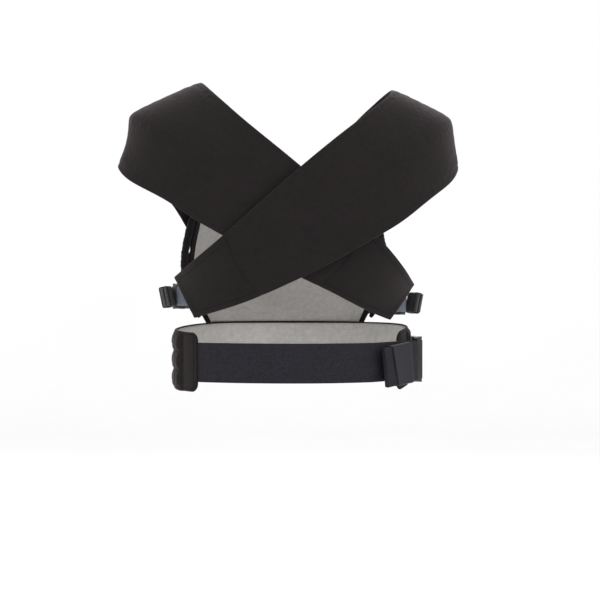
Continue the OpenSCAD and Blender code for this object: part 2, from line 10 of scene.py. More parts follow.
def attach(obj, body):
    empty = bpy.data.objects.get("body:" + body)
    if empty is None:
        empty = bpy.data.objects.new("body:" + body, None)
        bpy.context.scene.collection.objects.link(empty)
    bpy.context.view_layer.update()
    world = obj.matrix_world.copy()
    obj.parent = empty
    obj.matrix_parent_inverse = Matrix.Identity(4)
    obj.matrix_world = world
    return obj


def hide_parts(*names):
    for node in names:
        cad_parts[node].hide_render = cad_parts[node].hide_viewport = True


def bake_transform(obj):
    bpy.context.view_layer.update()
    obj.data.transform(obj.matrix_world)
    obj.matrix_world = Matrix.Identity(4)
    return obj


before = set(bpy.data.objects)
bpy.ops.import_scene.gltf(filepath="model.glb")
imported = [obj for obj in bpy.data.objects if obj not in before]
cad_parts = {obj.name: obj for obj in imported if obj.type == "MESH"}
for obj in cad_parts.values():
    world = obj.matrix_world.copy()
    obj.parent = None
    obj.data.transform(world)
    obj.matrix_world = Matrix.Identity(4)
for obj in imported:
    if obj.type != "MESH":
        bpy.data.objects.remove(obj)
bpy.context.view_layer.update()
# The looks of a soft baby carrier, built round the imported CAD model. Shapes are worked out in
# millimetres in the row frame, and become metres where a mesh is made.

MM = 0.001
TURN = 2 * math.pi
HEM = 7.0                 # distance from a fabric edge to its topstitching
FABRIC = 1.4              # one layer of carrier fabric
WEBBING = 1.6             # thickness of webbing
ELASTIC = 1.2             # thickness of the keepers' elastic
GAP = 0.3                 # air between pieces that touch in life
SIDE_HEIGHTS = {1: 76, -1: 84}     # height of the right and the left side buckle
CLOTH_FRAMES = 18         # how long a cushion swells
CLOTH_STIFFNESS = 12.0
THREAD_RADIUS = 0.26
STITCH_SIDES = 6
# Along a stitch: share of its length, height and thickness in thread radii
STITCH_RINGS = [(0.0, -0.9, 0.55), (0.12, 0.15, 0.95), (0.5, 0.55, 1.0), (0.88, 0.15, 0.95),
                (1.0, -0.9, 0.55)]
KNIT_RIB = 0.0009         # width of a column of knit stitches, in metres
# Angles between a moulding's faces: merged as flat, rounded, and shaded as a sharp edge
FLAT_WITHIN, ROUND_FROM, SHARP_FROM = (math.radians(a) for a in (1.5, 28, 38))


# ---------------------------------------------------------------- curves and surfaces

def mix(a, b, t):
    return a + (b - a) * t


def smooth(a, b, x):
    t = np.clip((x - a) / (b - a), 0, 1)
    return t * t * (3 - 2 * t)


def bump(x, centre, width):
    return np.exp(-((x - centre) / width) ** 2)


def through(rows, t):
    """Points of the Catmull-Rom curve through rows, at the places t from 0 to 1."""
    rows, t = np.asarray(rows, float), np.asarray(t, float)
    n = len(rows) - 1
    s = np.clip(t * n, 0, n - 1e-6)
    i = np.floor(s).astype(int)
    f = (s - i).reshape(s.shape + (1,) * (rows.ndim - 1))
    a, b, c, d = (rows[np.clip(i + k, 0, n)] for k in (-1, 0, 1, 2))
    return 0.5 * (
        2 * b + (c - a) * f + (2 * a - 5 * b + 4 * c - d) * f**2 + (3 * b - a - 3 * c + d) * f**3
    )


def unit(v):
    return v / np.maximum(np.linalg.norm(v, axis=-1, keepdims=True), 1e-12)


def normals(surface, u, v, step=1e-3):
    du = surface(np.minimum(u + step, 1), v) - surface(np.maximum(u - step, 0), v)
    return unit(np.cross(du, surface(u, v + step) - surface(u, v - step)))


def lengths(points):
    """Distance along a line of points, from its start."""
    return np.concatenate([[0], np.cumsum(np.linalg.norm(np.diff(points, axis=0), axis=1))])


def resample(points, spacing):
    """The same line with points at even distances."""
    points = np.asarray(points, float)
    s = lengths(points)
    at = np.linspace(0, s[-1], max(int(round(s[-1] / spacing)), 2) + 1)
    return np.stack([np.interp(at, s, points[:, k]) for k in range(points.shape[1])], 1)


def running(points, axis):
    """Distance along the rows or columns of a grid of points, from the first."""
    steps = np.diff(points, axis=axis, prepend=np.take(points, [0], axis))
    return np.cumsum(np.linalg.norm(steps, axis=2), axis=axis)


def circle(count):
    """Even angles once round."""
    return np.arange(count) * TURN / count


def rounded(points, radius, turns=6):
    """A line of straight stretches, with its corners made into arcs."""
    points = [np.asarray(p, float) for p in points]
    line = [points[0]]
    for a, b, c in zip(points, points[1:], points[2:]):
        into, out = unit(b - a), unit(c - b)
        room = min(radius, 0.49 * np.linalg.norm(b - a), 0.49 * np.linalg.norm(c - b))
        start, end = b - into * room, b + out * room
        for t in np.linspace(0, 1, turns):
            line.append((1 - t) ** 2 * start + 2 * t * (1 - t) * b + t**2 * end)
    return np.array(line + [points[-1]])


# ---------------------------------------------------------------- meshes

def link(name, data):
    """A new object in the scene."""
    obj = bpy.data.objects.new(name, data)
    bpy.context.scene.collection.objects.link(obj)
    return obj


def configure(thing, **values):
    for key, value in values.items():
        setattr(thing, key, value)
    return thing


def new_object(name, points, faces, uvs=None):
    """A mesh object from points and, per point, uvs along and across the cloth, all in millimetres."""
    mesh = bpy.data.meshes.new(name)
    mesh.from_pydata((np.asarray(points) * MM).tolist(), [], faces)
    if uvs is not None:
        layer = mesh.uv_layers.new(name="cloth")
        corner = np.zeros(len(mesh.loops), int)
        mesh.loops.foreach_get("vertex_index", corner)
        layer.data.foreach_set("uv", (np.asarray(uvs) * MM)[corner].ravel())
    mesh.shade_smooth()
    return link(name, mesh)


def tube_faces(rows, around, capped=True, looped=False):
    """Faces of a tube whose points come ring by ring. looped joins its last ring to its first."""
    faces = [(i * around + k, i * around + (k + 1) % around,
              (i + 1) % rows * around + (k + 1) % around, (i + 1) % rows * around + k)
             for i in range(rows - 1 + looped) for k in range(around)]
    if capped:
        faces += [tuple(range(around - 1, -1, -1)), tuple(range((rows - 1) * around, rows * around))]
    return faces


def per_point(mesh, key):
    values = np.zeros(len(mesh.vertices) * 3)
    mesh.vertices.foreach_get(key, values)
    return values.reshape(-1, 3)


def places(obj):
    """An object's points, in millimetres."""
    return per_point(obj.data, "co") / MM


def move_points(obj, points):
    obj.data.vertices.foreach_set("co", (points * MM).ravel())
    obj.data.update()


def evaluated(obj):
    return obj.evaluated_get(bpy.context.evaluated_depsgraph_get())


def bake(obj):
    """Applies an object's modifiers."""
    mesh = bpy.data.meshes.new_from_object(evaluated(obj))
    obj.modifiers.clear()
    obj.data = mesh
    mesh.shade_smooth()


def subdivide(obj):
    configure(obj.modifiers.new("smooth", "SUBSURF"), levels=1, render_levels=1)
    bake(obj)


def fix_facing(obj):
    """Turns all faces of a closed mesh outward."""
    made = bmesh.new()
    made.from_mesh(obj.data)
    bmesh.ops.recalc_face_normals(made, faces=made.faces)
    made.to_mesh(obj.data)
    made.free()


class Slab:
    """A closed, cushion-like solid between two offsets of a surface, on a grid of places u, v."""

    def __init__(self, name, surface, u, v, high, low, rim=0.5):
        middle, away = surface(u, v), normals(surface, u, v)
        top, bottom = middle + away * high[..., None], middle - away * low[..., None]
        along, across = running(middle, 0), running(middle, 1)
        uv = np.stack([along.mean(1, keepdims=True) + 0 * along, across - across.mean(1, keepdims=True)], -1)

        def edge(at, inside):
            """The rim's middle line beside one border, which stands out by a share of its thickness."""
            centre = (top[at] + bottom[at]) / 2
            out = unit(centre - (top[inside] + bottom[inside]) / 2)
            return centre + out * np.linalg.norm(top[at] - bottom[at], axis=-1, keepdims=True) * rim

        every = slice(None)
        borders = [((every, 0), (every, 1)), ((every, -1), (every, -2)), (0, 1), (-1, -2)]
        blocks = [top, bottom] + [edge(*border) for border in borders]
        cloth = [uv, uv] + [uv[at] for at, _ in borders]
        n, m = u.shape
        size = n * m
        self.top = t = np.arange(size).reshape(n, m)
        self.bottom = o = t + size
        a = 2 * size + np.arange(n)
        b, c = a + n, 2 * size + 2 * n + np.arange(m)
        d = c + m
        faces = []
        for i in range(n - 1):
            for j in range(m - 1):
                faces += [(t[i, j], t[i + 1, j], t[i + 1, j + 1], t[i, j + 1]),
                          (o[i, j], o[i, j + 1], o[i + 1, j + 1], o[i + 1, j])]
            faces += [(t[i, 0], a[i], a[i + 1], t[i + 1, 0]), (a[i], o[i, 0], o[i + 1, 0], a[i + 1]),
                      (t[i, -1], t[i + 1, -1], b[i + 1], b[i]), (b[i], b[i + 1], o[i + 1, -1], o[i, -1])]
        for j in range(m - 1):
            faces += [(t[0, j], t[0, j + 1], c[j + 1], c[j]), (c[j], c[j + 1], o[0, j + 1], o[0, j]),
                      (t[-1, j], d[j], d[j + 1], t[-1, j + 1]), (d[j], o[-1, j], o[-1, j + 1], d[j + 1])]
        for row, end in ((0, c), (n - 1, d)):
            for col, side in ((0, a), (m - 1, b)):
                corner = [(t[row, col], end[col], side[row]), (o[row, col], side[row], end[col])]
                faces += [face[::-1] if (row == 0) != (col == 0) else face for face in corner]
        self.obj = new_object(name, np.concatenate([x.reshape(-1, 3) for x in blocks]),
                              [tuple(int(k) for k in face) for face in faces],
                              np.concatenate([x.reshape(-1, 2) for x in cloth]))

    def line(self, rows, cols, lower=False, lift=0.05):
        """Points and normals along a row or column of the finished mesh, lifted off it a little."""
        index = (self.bottom if lower else self.top)[rows, cols].ravel()
        away = per_point(self.obj.data, "normal")[index]
        return places(self.obj)[index] + away * lift, away

    def fill(self, pins, lower_hold, pressure, grow, cap):
        """Blows the slab up as cloth, then smooths it. pins say how firmly each grid point of the top is
        held, where 1 doesn't move. The lower side is held by lower_hold or more, and the rim fully."""
        held = np.ones(len(self.obj.data.vertices))
        held[self.top.ravel()] = pins.ravel()
        held[self.bottom.ravel()] = np.maximum(pins, lower_hold).ravel()
        inflate(self.obj, held, pressure, grow, cap)
        subdivide(self.obj)


def inflate(obj, held, pressure, grow, cap):
    """Lets cloth swell under pressure, and keeps every point within cap of its start."""
    start = places(obj)
    group = obj.vertex_groups.new(name="pins")
    for weight in np.unique(np.round(held, 2)):
        members = np.nonzero(np.abs(held - weight) < 0.005)[0]
        group.add([int(k) for k in members], float(weight), "REPLACE")
    cloth = obj.modifiers.new("cloth", "CLOTH")
    configure(cloth.settings, quality=6, mass=0.2, tension_stiffness=CLOTH_STIFFNESS,
              compression_stiffness=CLOTH_STIFFNESS, shear_stiffness=CLOTH_STIFFNESS / 2,
              bending_stiffness=0.4, air_damping=3, use_pressure=True, uniform_pressure_force=pressure,
              shrink_min=-grow, vertex_group_mass="pins", pin_stiffness=1.0)
    cloth.settings.effector_weights.gravity = 0
    configure(cloth.collision_settings, use_collision=False, use_self_collision=False)
    configure(cloth.point_cache, frame_start=1, frame_end=CLOTH_FRAMES)
    for frame_number in range(1, CLOTH_FRAMES + 1):
        bpy.context.scene.frame_set(frame_number)
    moved = per_point(evaluated(obj).data, "co") / MM - start
    obj.modifiers.clear()
    obj.vertex_groups.clear()
    bpy.context.scene.frame_set(1)
    far = np.linalg.norm(moved, axis=1, keepdims=True)
    move_points(obj, start + moved * np.minimum(1, cap / np.maximum(far, 1e-9)))


def ribbon(name, centre, width, side=(0, 0, 1), across=8, ripple=0.0):
    """Webbing along its middle line. side points across it, at each place or everywhere."""
    centre = np.asarray(centre, float)
    side = unit(np.broadcast_to(np.asarray(side, float), centre.shape))
    face = unit(np.cross(unit(np.gradient(centre, axis=0)), side))
    half, edge = WEBBING / 2, WEBBING * 0.45
    x = np.linspace(-1, 1, across + 1) * (width / 2 - edge)
    rim = [(width / 2 - edge * 0.3, half * 0.62), (width / 2, 0), (width / 2 - edge * 0.3, -half * 0.62)]
    outline = [(a, half) for a in x] + rim + [(a, -half) for a in x[::-1]] + [(-a, -h) for a, h in rim]
    outline = np.array(outline)
    s = lengths(centre)
    wave = ripple * np.sin(s / 17.0)[:, None] * np.sin(outline[:, 0] / 9.0 + 1.0)[None, :]
    points = (
        centre[:, None]
        + side[:, None] * outline[None, :, :1]
        + face[:, None] * (outline[None, :, 1:] + wave[..., None])
    )
    uv = np.stack([s[:, None] + 0 * outline[None, :, 0], outline[None, :, 0] + 0 * s[:, None]], -1)
    obj = new_object(name, points.reshape(-1, 3), tube_faces(len(centre), len(outline)), uv.reshape(-1, 2))
    fix_facing(obj)
    return obj


def on_edge(name, path, z, width, spacing=1.0, **options):
    """Webbing that stands on its edge along a path in plan."""
    line = resample(path, spacing)
    return ribbon(name, np.column_stack([line, np.full(len(line), z)]), width, **options)


def stitches(name, rows, pitch=3.0, stitch=2.2):
    """Rows of thread stitches, each a small arched capsule. rows holds (points, normals)."""
    rings = np.array(STITCH_RINGS)
    sides = STITCH_SIDES
    last = (len(rings) - 1) * sides
    capsule = [(r + k, r + sides + k, r + sides + (k + 1) % sides, r + (k + 1) % sides)
               for r in range(0, last, sides) for k in range(sides)]
    capsule += [tuple(range(sides)), tuple(range(last + sides - 1, last - 1, -1))]
    points, faces = [], []
    angles = circle(sides)
    for line, away in rows:
        s = lengths(line)
        if s[-1] < pitch:
            continue
        count = int(s[-1] / pitch)
        starts = (s[-1] - count * pitch) / 2 + (pitch - stitch) / 2 + np.arange(count) * pitch
        at = starts[:, None] + stitch * rings[None, :, 0]
        centre = np.stack([np.interp(at, s, line[:, k]) for k in range(3)], -1)
        up = unit(np.stack([np.interp(at, s, away[:, k]) for k in range(3)], -1))
        ahead = unit(centre[:, -1:] - centre[:, :1]) + 0 * centre
        across = unit(np.cross(ahead, up))
        centre = centre + up * rings[None, :, 1:2] * THREAD_RADIUS
        ring = centre[:, :, None] + rings[None, :, 2:, None] * THREAD_RADIUS * (
            across[:, :, None] * np.cos(angles)[None, None, :, None]
            + up[:, :, None] * np.sin(angles)[None, None, :, None]
        )
        base = sum(len(p) for p in points)
        points.append(ring.reshape(-1, 3))
        for first in base + np.arange(count) * len(rings) * sides:
            faces += [tuple(int(first) + k for k in face) for face in capsule]
    return new_object(name, np.concatenate(points), faces)


def moulding(name, node, bevel):
    """A moulded copy of a CAD node: the same solid with its outer edges rounded."""
    obj = link(name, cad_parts[node].data.copy())
    obj.data.materials.clear()
    configure(obj.modifiers.new("weld", "WELD"), merge_threshold=0.01 * MM)
    configure(obj.modifiers.new("flat", "DECIMATE"), decimate_type="DISSOLVE", angle_limit=FLAT_WITHIN)
    bake(obj)
    mesh = bmesh.new()
    mesh.from_mesh(obj.data)
    outer = mesh.edges.layers.float.new("bevel_weight_edge")
    for e in mesh.edges:
        e[outer] = 1.0 if e.is_manifold and e.calc_face_angle_signed() > ROUND_FROM else 0.0
    mesh.to_mesh(obj.data)
    mesh.free()
    configure(obj.modifiers.new("edge", "BEVEL"), width=bevel * MM, segments=3, limit_method="WEIGHT")
    bake(obj)
    obj.data.set_sharp_from_angle(angle=SHARP_FROM)
    return obj


# ---------------------------------------------------------------- materials

class Nodes:
    """Builds a material's nodes, one short call each."""

    def __init__(self, name):
        self.material = bpy.data.materials.new(name)
        self.material.use_nodes = True
        self.tree = self.material.node_tree
        self.tree.nodes.clear()
        self.output = self.tree.nodes.new("ShaderNodeOutputMaterial")
        self.where = self.node("TexCoord").outputs["Object"]

    def node(self, kind, inputs=(), **settings):
        made = configure(self.tree.nodes.new("ShaderNode" + kind), **settings)
        for key, value in dict(inputs).items():
            if isinstance(value, bpy.types.NodeSocket):
                self.tree.links.new(value, made.inputs[key])
            else:
                made.inputs[key].default_value = value
        return made

    def cloth(self):
        """Metres along and across the cloth."""
        parts = self.node("SeparateXYZ", {0: self.node("UVMap", uv_map="cloth").outputs["UV"]}).outputs
        return parts["X"], parts["Y"]

    def math(self, operation, a, b=0.0):
        return self.node("Math", {0: a, 1: b}, operation=operation).outputs[0]

    def add(self, a, b):
        return self.math("ADD", a, b)

    def times(self, a, b):
        return self.math("MULTIPLY", a, b)

    def total(self, *parts):
        """The sum of values, each times its weight."""
        return reduce(self.add, [self.times(value, weight) for value, weight in parts])

    def wave(self, x):
        """A sine wave between 0 and 1."""
        return self.times(self.add(self.math("SINE", x), 1.0), 0.5)

    def span(self, value, low, high):
        return self.node("MapRange", {"Value": value, "To Min": low, "To Max": high}).outputs[0]

    def noise(self, scale, detail=3.0, roughness=0.55, where=None):
        return self.node("TexNoise", {"Vector": where or self.where, "Scale": scale, "Detail": detail,
                                      "Roughness": roughness}).outputs["Fac"]

    def ramp(self, value, *stops):
        made = self.node("ValToRGB", {"Fac": value})
        elements = made.color_ramp.elements
        while len(elements) < len(stops):
            elements.new(0.5)
        for element, (at, colour) in zip(elements, stops):
            element.position, element.color = at, (*colour, 1)
        return made.outputs["Color"]

    def bump(self, height, strength, distance, under=None):
        inputs = {"Height": height, "Strength": strength, "Distance": distance}
        if under is not None:
            inputs["Normal"] = under
        return self.node("Bump", inputs).outputs["Normal"]

    def finish(self, **inputs):
        shader = self.node("BsdfPrincipled", {k.replace("_", " "): v for k, v in inputs.items()})
        self.tree.links.new(shader.outputs[0], self.output.inputs["Surface"])
        return self.material


def between(low, high, t):
    return tuple(mix(a, b, t) for a, b in zip(low, high))


def knit(name, dark, light, sheen, fuzz_tint):
    """Brushed cotton knit: fine columns of stitches under a short nap, with a little lint."""
    n = Nodes(name)
    along, across = n.cloth()
    across = n.add(across, n.times(n.noise(260.0, 2.0), KNIT_RIB * 0.7))
    column = n.math("SINE", n.times(across, TURN / KNIT_RIB))
    chevron = n.times(n.math("ABSOLUTE", column), 0.9)
    loops = n.wave(n.total((along, TURN / (KNIT_RIB * 1.3)), (chevron, 2.4)))
    height = n.total((loops, 0.45), (chevron, 0.55))
    nap = n.noise(900.0, 4.0, 0.7)
    patches = n.noise(26.0, 4.0, 0.6)
    mottle = n.noise(170.0, 3.0, 0.6)
    shade = n.total((patches, 0.16), (mottle, 0.30), (nap, 0.52), (height, 0.14))
    colour = n.ramp(shade, (0.38, dark), (0.59, between(dark, light, 0.5)), (0.78, light))
    lint = n.times(n.math("GREATER_THAN", n.noise(420.0, 1.0), 0.79), 0.25)
    pale = (*[min(1, 2.6 * c + 0.02) for c in light], 1)
    colour = n.node("Mix", {0: lint, 6: colour, 7: pale}, data_type="RGBA").outputs[2]
    fine = n.bump(height, 0.30, 0.00022, n.bump(patches, 0.12, 0.0012))
    return n.finish(Base_Color=colour, Roughness=n.span(mottle, 0.86, 0.98),
                    Normal=n.bump(nap, 0.38, 0.00020, fine), Sheen_Weight=sheen, Sheen_Roughness=0.42,
                    Sheen_Tint=(*fuzz_tint, 1), Specular_IOR_Level=0.18)


def weave(name, dark, light, pitch, ribs, sheen=0.12, rough=(0.62, 0.8), gloss=0.35):
    """Webbing: a herringbone of yarns, in ribs that run along it, with a few thicker yarns."""
    n = Nodes(name)
    along, across = n.cloth()
    zigzag = n.math("PINGPONG", across, ribs)
    yarn = n.wave(n.total((along, TURN / pitch), (zigzag, TURN / ribs * 0.9)))
    rib = n.math("ABSOLUTE", n.math("SINE", n.times(across, math.pi / ribs)))
    height = n.total((yarn, 0.6), (n.math("POWER", rib, 0.5), 0.4))
    fibre = n.noise(1500.0, 3.0, 0.65)
    wear = n.noise(34.0, 4.0, 0.6)
    slub = n.math("SUBTRACT", n.noise(430.0, 2.0, 0.6), 0.42)
    shade = n.total((height, 0.42), (fibre, 0.22), (wear, 0.2), (slub, 0.9))
    colour = n.ramp(shade, (0.22, dark), (0.55, between(dark, light, 0.55)), (0.88, light))
    return n.finish(Base_Color=colour, Roughness=n.span(wear, *rough),
                    Normal=n.bump(fibre, 0.22, 0.00012, n.bump(height, 0.55, 0.00032)),
                    Sheen_Weight=sheen, Sheen_Roughness=0.35, Sheen_Tint=(0.75, 0.8, 0.9, 1),
                    Specular_IOR_Level=gloss)


def elastic_weave(name, dark, light):
    """Woven elastic: narrow ribs across the band, pulled a little uneven."""
    n = Nodes(name)
    along, across = n.cloth()
    drift = n.times(n.noise(90.0, 2.0), 0.0006)
    rib = n.wave(n.times(n.add(across, drift), TURN / 0.0011))
    pick = n.wave(n.times(along, TURN / 0.0007))
    height = n.total((rib, 0.7), (pick, 0.3))
    fibre = n.noise(1300.0, 3.0, 0.65)
    colour = n.ramp(n.total((height, 0.55), (fibre, 0.45)), (0.25, dark), (0.85, light))
    return n.finish(Base_Color=colour, Roughness=n.span(fibre, 0.68, 0.88),
                    Normal=n.bump(fibre, 0.2, 0.0001, n.bump(height, 0.5, 0.0002)),
                    Sheen_Weight=0.15, Sheen_Roughness=0.4, Specular_IOR_Level=0.3)


def plastic(name, dark, light, rough=(0.30, 0.46)):
    """Moulded acetal: a fine spark-eroded grain, slightly polished by handling, with faint scuffs."""
    n = Nodes(name)
    grain = n.noise(2300.0, 3.0, 0.6)
    handling = n.noise(45.0, 4.0, 0.6)
    streak = n.node("Mapping", {"Vector": n.where, "Scale": (60.0, 60.0, 900.0)}).outputs[0]
    scuff = n.math("GREATER_THAN", n.noise(3.0, 2.0, 0.4, streak), 0.66)
    colour = n.ramp(n.total((handling, 0.8), (scuff, 0.12)), (0.3, dark), (0.8, light))
    roughness = n.add(n.span(handling, *rough), n.times(scuff, 0.07))
    return n.finish(Base_Color=colour, Roughness=roughness,
                    Normal=n.bump(grain, 0.30, 0.00006, n.bump(handling, 0.06, 0.0006)),
                    Specular_IOR_Level=0.5, Coat_Weight=0.08, Coat_Roughness=0.3)


def thread_material(name, dark, light):
    """Twisted polyester thread."""
    n = Nodes(name)
    twist = n.noise(1800.0, 2.0)
    return n.finish(Base_Color=n.ramp(twist, (0.35, dark), (0.7, light)), Roughness=0.85,
                    Normal=n.bump(twist, 0.4, 0.0001), Specular_IOR_Level=0.1)


def floor_material():
    n = Nodes("studio_floor")
    colour = n.ramp(n.noise(1.5, 3.0), (0.2, (0.93, 0.93, 0.93)), (0.8, (0.96, 0.96, 0.96)))
    return n.finish(Base_Color=colour, Roughness=0.8)


CARRIER = knit("carrier_knit", (0.0042, 0.0033, 0.0034), (0.0146, 0.0115, 0.0118), 0.18, (0.74, 0.62, 0.64))
LINING = knit("lining_knit", (0.33, 0.315, 0.30), (0.62, 0.60, 0.575), 0.25, (1.0, 0.97, 0.94))
WAIST_WEB = weave("waist_webbing_weave", (0.0010, 0.0009, 0.0020), (0.0180, 0.0164, 0.0236),
                  0.0016, 0.0022, sheen=0.03, gloss=0.2)
SIDE_WEB = weave("side_webbing_weave", (0.034, 0.040, 0.052), (0.115, 0.132, 0.160),
                 0.0013, 0.0020, rough=(0.5, 0.68))
TAIL_WEB = weave("side_tail_weave", (0.023, 0.0222, 0.0224), (0.088, 0.085, 0.086), 0.0013, 0.0020)
ELASTIC_BAND = elastic_weave("elastic_weave", (0.0054, 0.0050, 0.0078), (0.0178, 0.0166, 0.0238))
BUCKLE = plastic("buckle_acetal", (0.008, 0.008, 0.0085), (0.022, 0.022, 0.023))
LATCH = plastic("latch_acetal", (0.010, 0.010, 0.0105), (0.026, 0.026, 0.027), (0.24, 0.38))
SNAP = plastic("snap_resin", (0.010, 0.010, 0.011), (0.028, 0.028, 0.03), (0.18, 0.3))
THREAD = thread_material("black_thread", (0.0015, 0.0013, 0.0013), (0.0045, 0.004, 0.004))
GREY_THREAD = thread_material("grey_thread", (0.30, 0.29, 0.28), (0.55, 0.53, 0.51))


def place(obj, material, slot, body, *nodes):
    """Gives a piece its material, hides the CAD nodes that it stands for and hangs it on the body that it
    rides on; a piece given a span between two bodies is only baked where it lies.
    """
    obj.data.materials.clear()
    obj.data.materials.append(material)
    if nodes:
        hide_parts(*nodes)
    if isinstance(body, str):
        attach(obj, body)
    else:
        first, second, start, end = body
        tuple(c * MM for c in start)
        tuple(c * MM for c in end)
        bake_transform(obj)


def sew(name, threads, material, slot, body="root", **sizes):
    place(stitches(name, threads, **sizes), material, slot, body)


# ---------------------------------------------------------------- sewing helpers

def grid(rows, cols):
    """The grid of places for rows of u and, per row, columns of v."""
    rows = np.asarray(rows, float)
    cols = np.asarray(cols, float)
    if cols.ndim == 1:
        cols = np.tile(cols, (len(rows), 1))
    return np.tile(rows[:, None], (1, cols.shape[1])), cols


def puff(x):
    """The height across a stuffed channel, with x from -1 to 1 between its stitch lines."""
    return np.power(np.clip(1 - np.abs(x) ** 2.4, 0, 1), 0.6)


def nearest(values, at):
    return int(np.abs(values - at).argmin())


def spot(surface, u, v, off=0.0):
    """One point of a surface, moved off it by so much, and the way out there."""
    u, v = np.array([u]), np.array([v])
    away = normals(surface, u, v)[0]
    return surface(u, v)[0] + away * off, away


def facing(name, slab, rows, cols, thick=0.6, lift=0.2):
    """A thin layer of cloth laid over part of a finished slab's lower side, to follow its shape."""
    index = slab.bottom[rows][:, cols]
    base, away = places(slab.obj)[index], per_point(slab.obj.data, "normal")[index]
    inner = np.zeros(index.shape)
    inner[1:-1, 1:-1] = 1
    top = base + away * (lift + thick * (0.35 + 0.65 * inner))[..., None]
    n, m = index.shape
    size = n * m
    faces = []
    for i in range(n - 1):
        for j in range(m - 1):
            a, b, c, d = i * m + j, i * m + j + 1, (i + 1) * m + j + 1, (i + 1) * m + j
            faces += [(a, b, c, d), (size + a, size + d, size + c, size + b)]
    border = [i * m for i in range(n)] + [(n - 1) * m + j for j in range(1, m)]
    border += [i * m + m - 1 for i in range(n - 2, -1, -1)] + list(range(m - 2, 0, -1))
    faces += [(q, p, size + p, size + q) for p, q in zip(border, border[1:] + border[:1])]
    uv = np.stack([running(base, 0), running(base, 1)], -1).reshape(-1, 2)
    obj = new_object(name, np.concatenate([top.reshape(-1, 3), base.reshape(-1, 3)]), faces,
                     np.concatenate([uv, uv]))
    fix_facing(obj)
    return obj


def lathe(name, profile, centre, axis, sides=48):
    """A turned piece: profile rows are (radius, height) along axis from centre, from its bottom."""
    axis = unit(np.asarray(axis, float))
    a = unit(np.cross(axis, [0.3, 0.5, 0.8]))
    b = np.cross(axis, a)
    angles = circle(sides)
    spin = a[None] * np.cos(angles)[:, None] + b[None] * np.sin(angles)[:, None]
    rings = [np.asarray(centre) + axis * h + spin * r for r, h in profile]
    obj = new_object(name, np.concatenate(rings), tube_faces(len(rings), sides))
    fix_facing(obj)
    obj.data.set_sharp_from_angle(angle=math.radians(40))
    return obj


def join(name, objs):
    """Makes several mesh objects one."""
    with bpy.context.temp_override(active_object=objs[0], selected_editable_objects=objs):
        bpy.ops.object.join()
    objs[0].name = name
    return objs[0]


def dress(cushion, stuffing, body, *nodes):
    """Puts a padded piece in the carrier's fabric. stuffing is not used."""
    place(cushion, CARRIER, "carrier_fabric", body, *nodes)


def line_with(lining, cushion, body, node, material=LINING, slot="lining_fabric"):
    """Gives a lining, already laid on its cushion, its material, body and CAD node, and reads its cloth
    coordinates.
    """
    place(lining, material, slot, body, node)
    uv = np.zeros(len(lining.data.loops) * 2)
    lining.data.uv_layers["cloth"].data.foreach_get("uv", uv)


# ---------------------------------------------------------------- waistband

BAND_FROM, BAND_TO = -29, 212             # degrees round the wearer from +X
BAND_HEIGHT = 74
FLAT_END = 0.055                          # share of the band's length, at each end, without foam
BAND_LINES = (-0.945, -0.315, 0.315, 0.945)
CHANNEL = 0.63                            # from one stitch line to the next


def ring_at(phi, off):
    phi = np.radians(phi)
    return np.stack([(146 + off) * np.cos(phi), (104 + off) * np.sin(phi)], -1)


def band_surface(u, v):
    at = ring_at(mix(BAND_FROM, BAND_TO, u), 0 * u)
    corner = np.clip(np.minimum(u, 1 - u) / 0.02, 0, 1)
    half = BAND_HEIGHT / 2 - 10 * (1 - np.sqrt(np.clip(1 - (1 - corner) ** 2, 0, 1)))
    rise = np.where(u < 0.5, 1 - (2 * u - 1) ** 4, smooth(1, 0.6, u))
    height = 12 * rise + v * half
    return np.concatenate([at, height[..., None]], -1)


def band_filled(u):
    return smooth(FLAT_END - 0.004, FLAT_END + 0.024, np.minimum(u, 1 - u))


def make_waistband():
    ends = np.array([0, 0.0012, 0.003, 0.006, 0.0095, 0.0135, 0.018, 0.0235, 0.03])
    rows = np.concatenate([ends, np.linspace(0.036, 0.964, 150), 1 - ends[::-1]])
    channels = [np.linspace(a, b, 9)[:-1] for a, b in zip(BAND_LINES, BAND_LINES[1:])]
    cols = np.concatenate([[-1, -0.975], *channels, [BAND_LINES[-1], 0.975, 1]])
    u, v = grid(rows, cols)
    middle = np.clip(np.round(v / CHANNEL), -1, 1) * CHANNEL
    stuffed = puff((v - middle) / (CHANNEL / 2)) * (np.abs(v) < BAND_LINES[-1])
    fill = band_filled(u)
    calm = smooth(0.22, 0.1, 1 - u)      # the wearer's left end is less full
    flat = 5.0 - 0.6 * bump(np.abs(v), 1.0, 0.05)
    high = mix(flat, 5.6 + 2.0 * calm + (3.8 - 1.4 * calm) * stuffed, fill)
    low = -mix(1.6, 2.6 - 0.9 * stuffed, fill)
    band = Slab("waistband_padding", band_surface, u, v, high, low, rim=0.45)
    sewn = np.isclose(cols[:, None], BAND_LINES).any(1)
    pins = np.where(sewn[None, :], 1.0, 1 - (0.97 - 0.3 * calm) * fill)
    pins[:, [0, 1, -2, -1]] = 1
    a, b = (nearest(rows, r) for r in (FLAT_END + 0.004, 1 - FLAT_END - 0.004))
    pins[[a, b]] = 1
    band.fill(pins, 0.85, pressure=4.0, grow=0.04, cap=2.6)
    every, inside = np.arange(len(rows)), np.arange(1, len(cols) - 1)
    lining = facing("waistband_lining", band, every[2:-2], inside, thick=0.5, lift=0.15)
    dress(band.obj, 0.85, "root", "waistband_face", "waistband_foam")
    line_with(lining, band.obj, "root", "waistband_backing")
    threads = [band.line(every[a:b + 1] if abs(cols[k]) < 0.9 else every[3:-3], k)
               for k in np.nonzero(sewn)[0]]
    threads += [band.line(row, inside[1:-1]) for row in (a, b, 4, len(rows) - 5)]
    sew("waistband_stitching", threads, THREAD, "carrier_fabric")
    inner = [band.line(every[3:-3], k, True, 0.75) for k in (2, len(cols) - 3)]
    sew("waistband_lining_stitching", inner, GREY_THREAD, "lining_fabric")


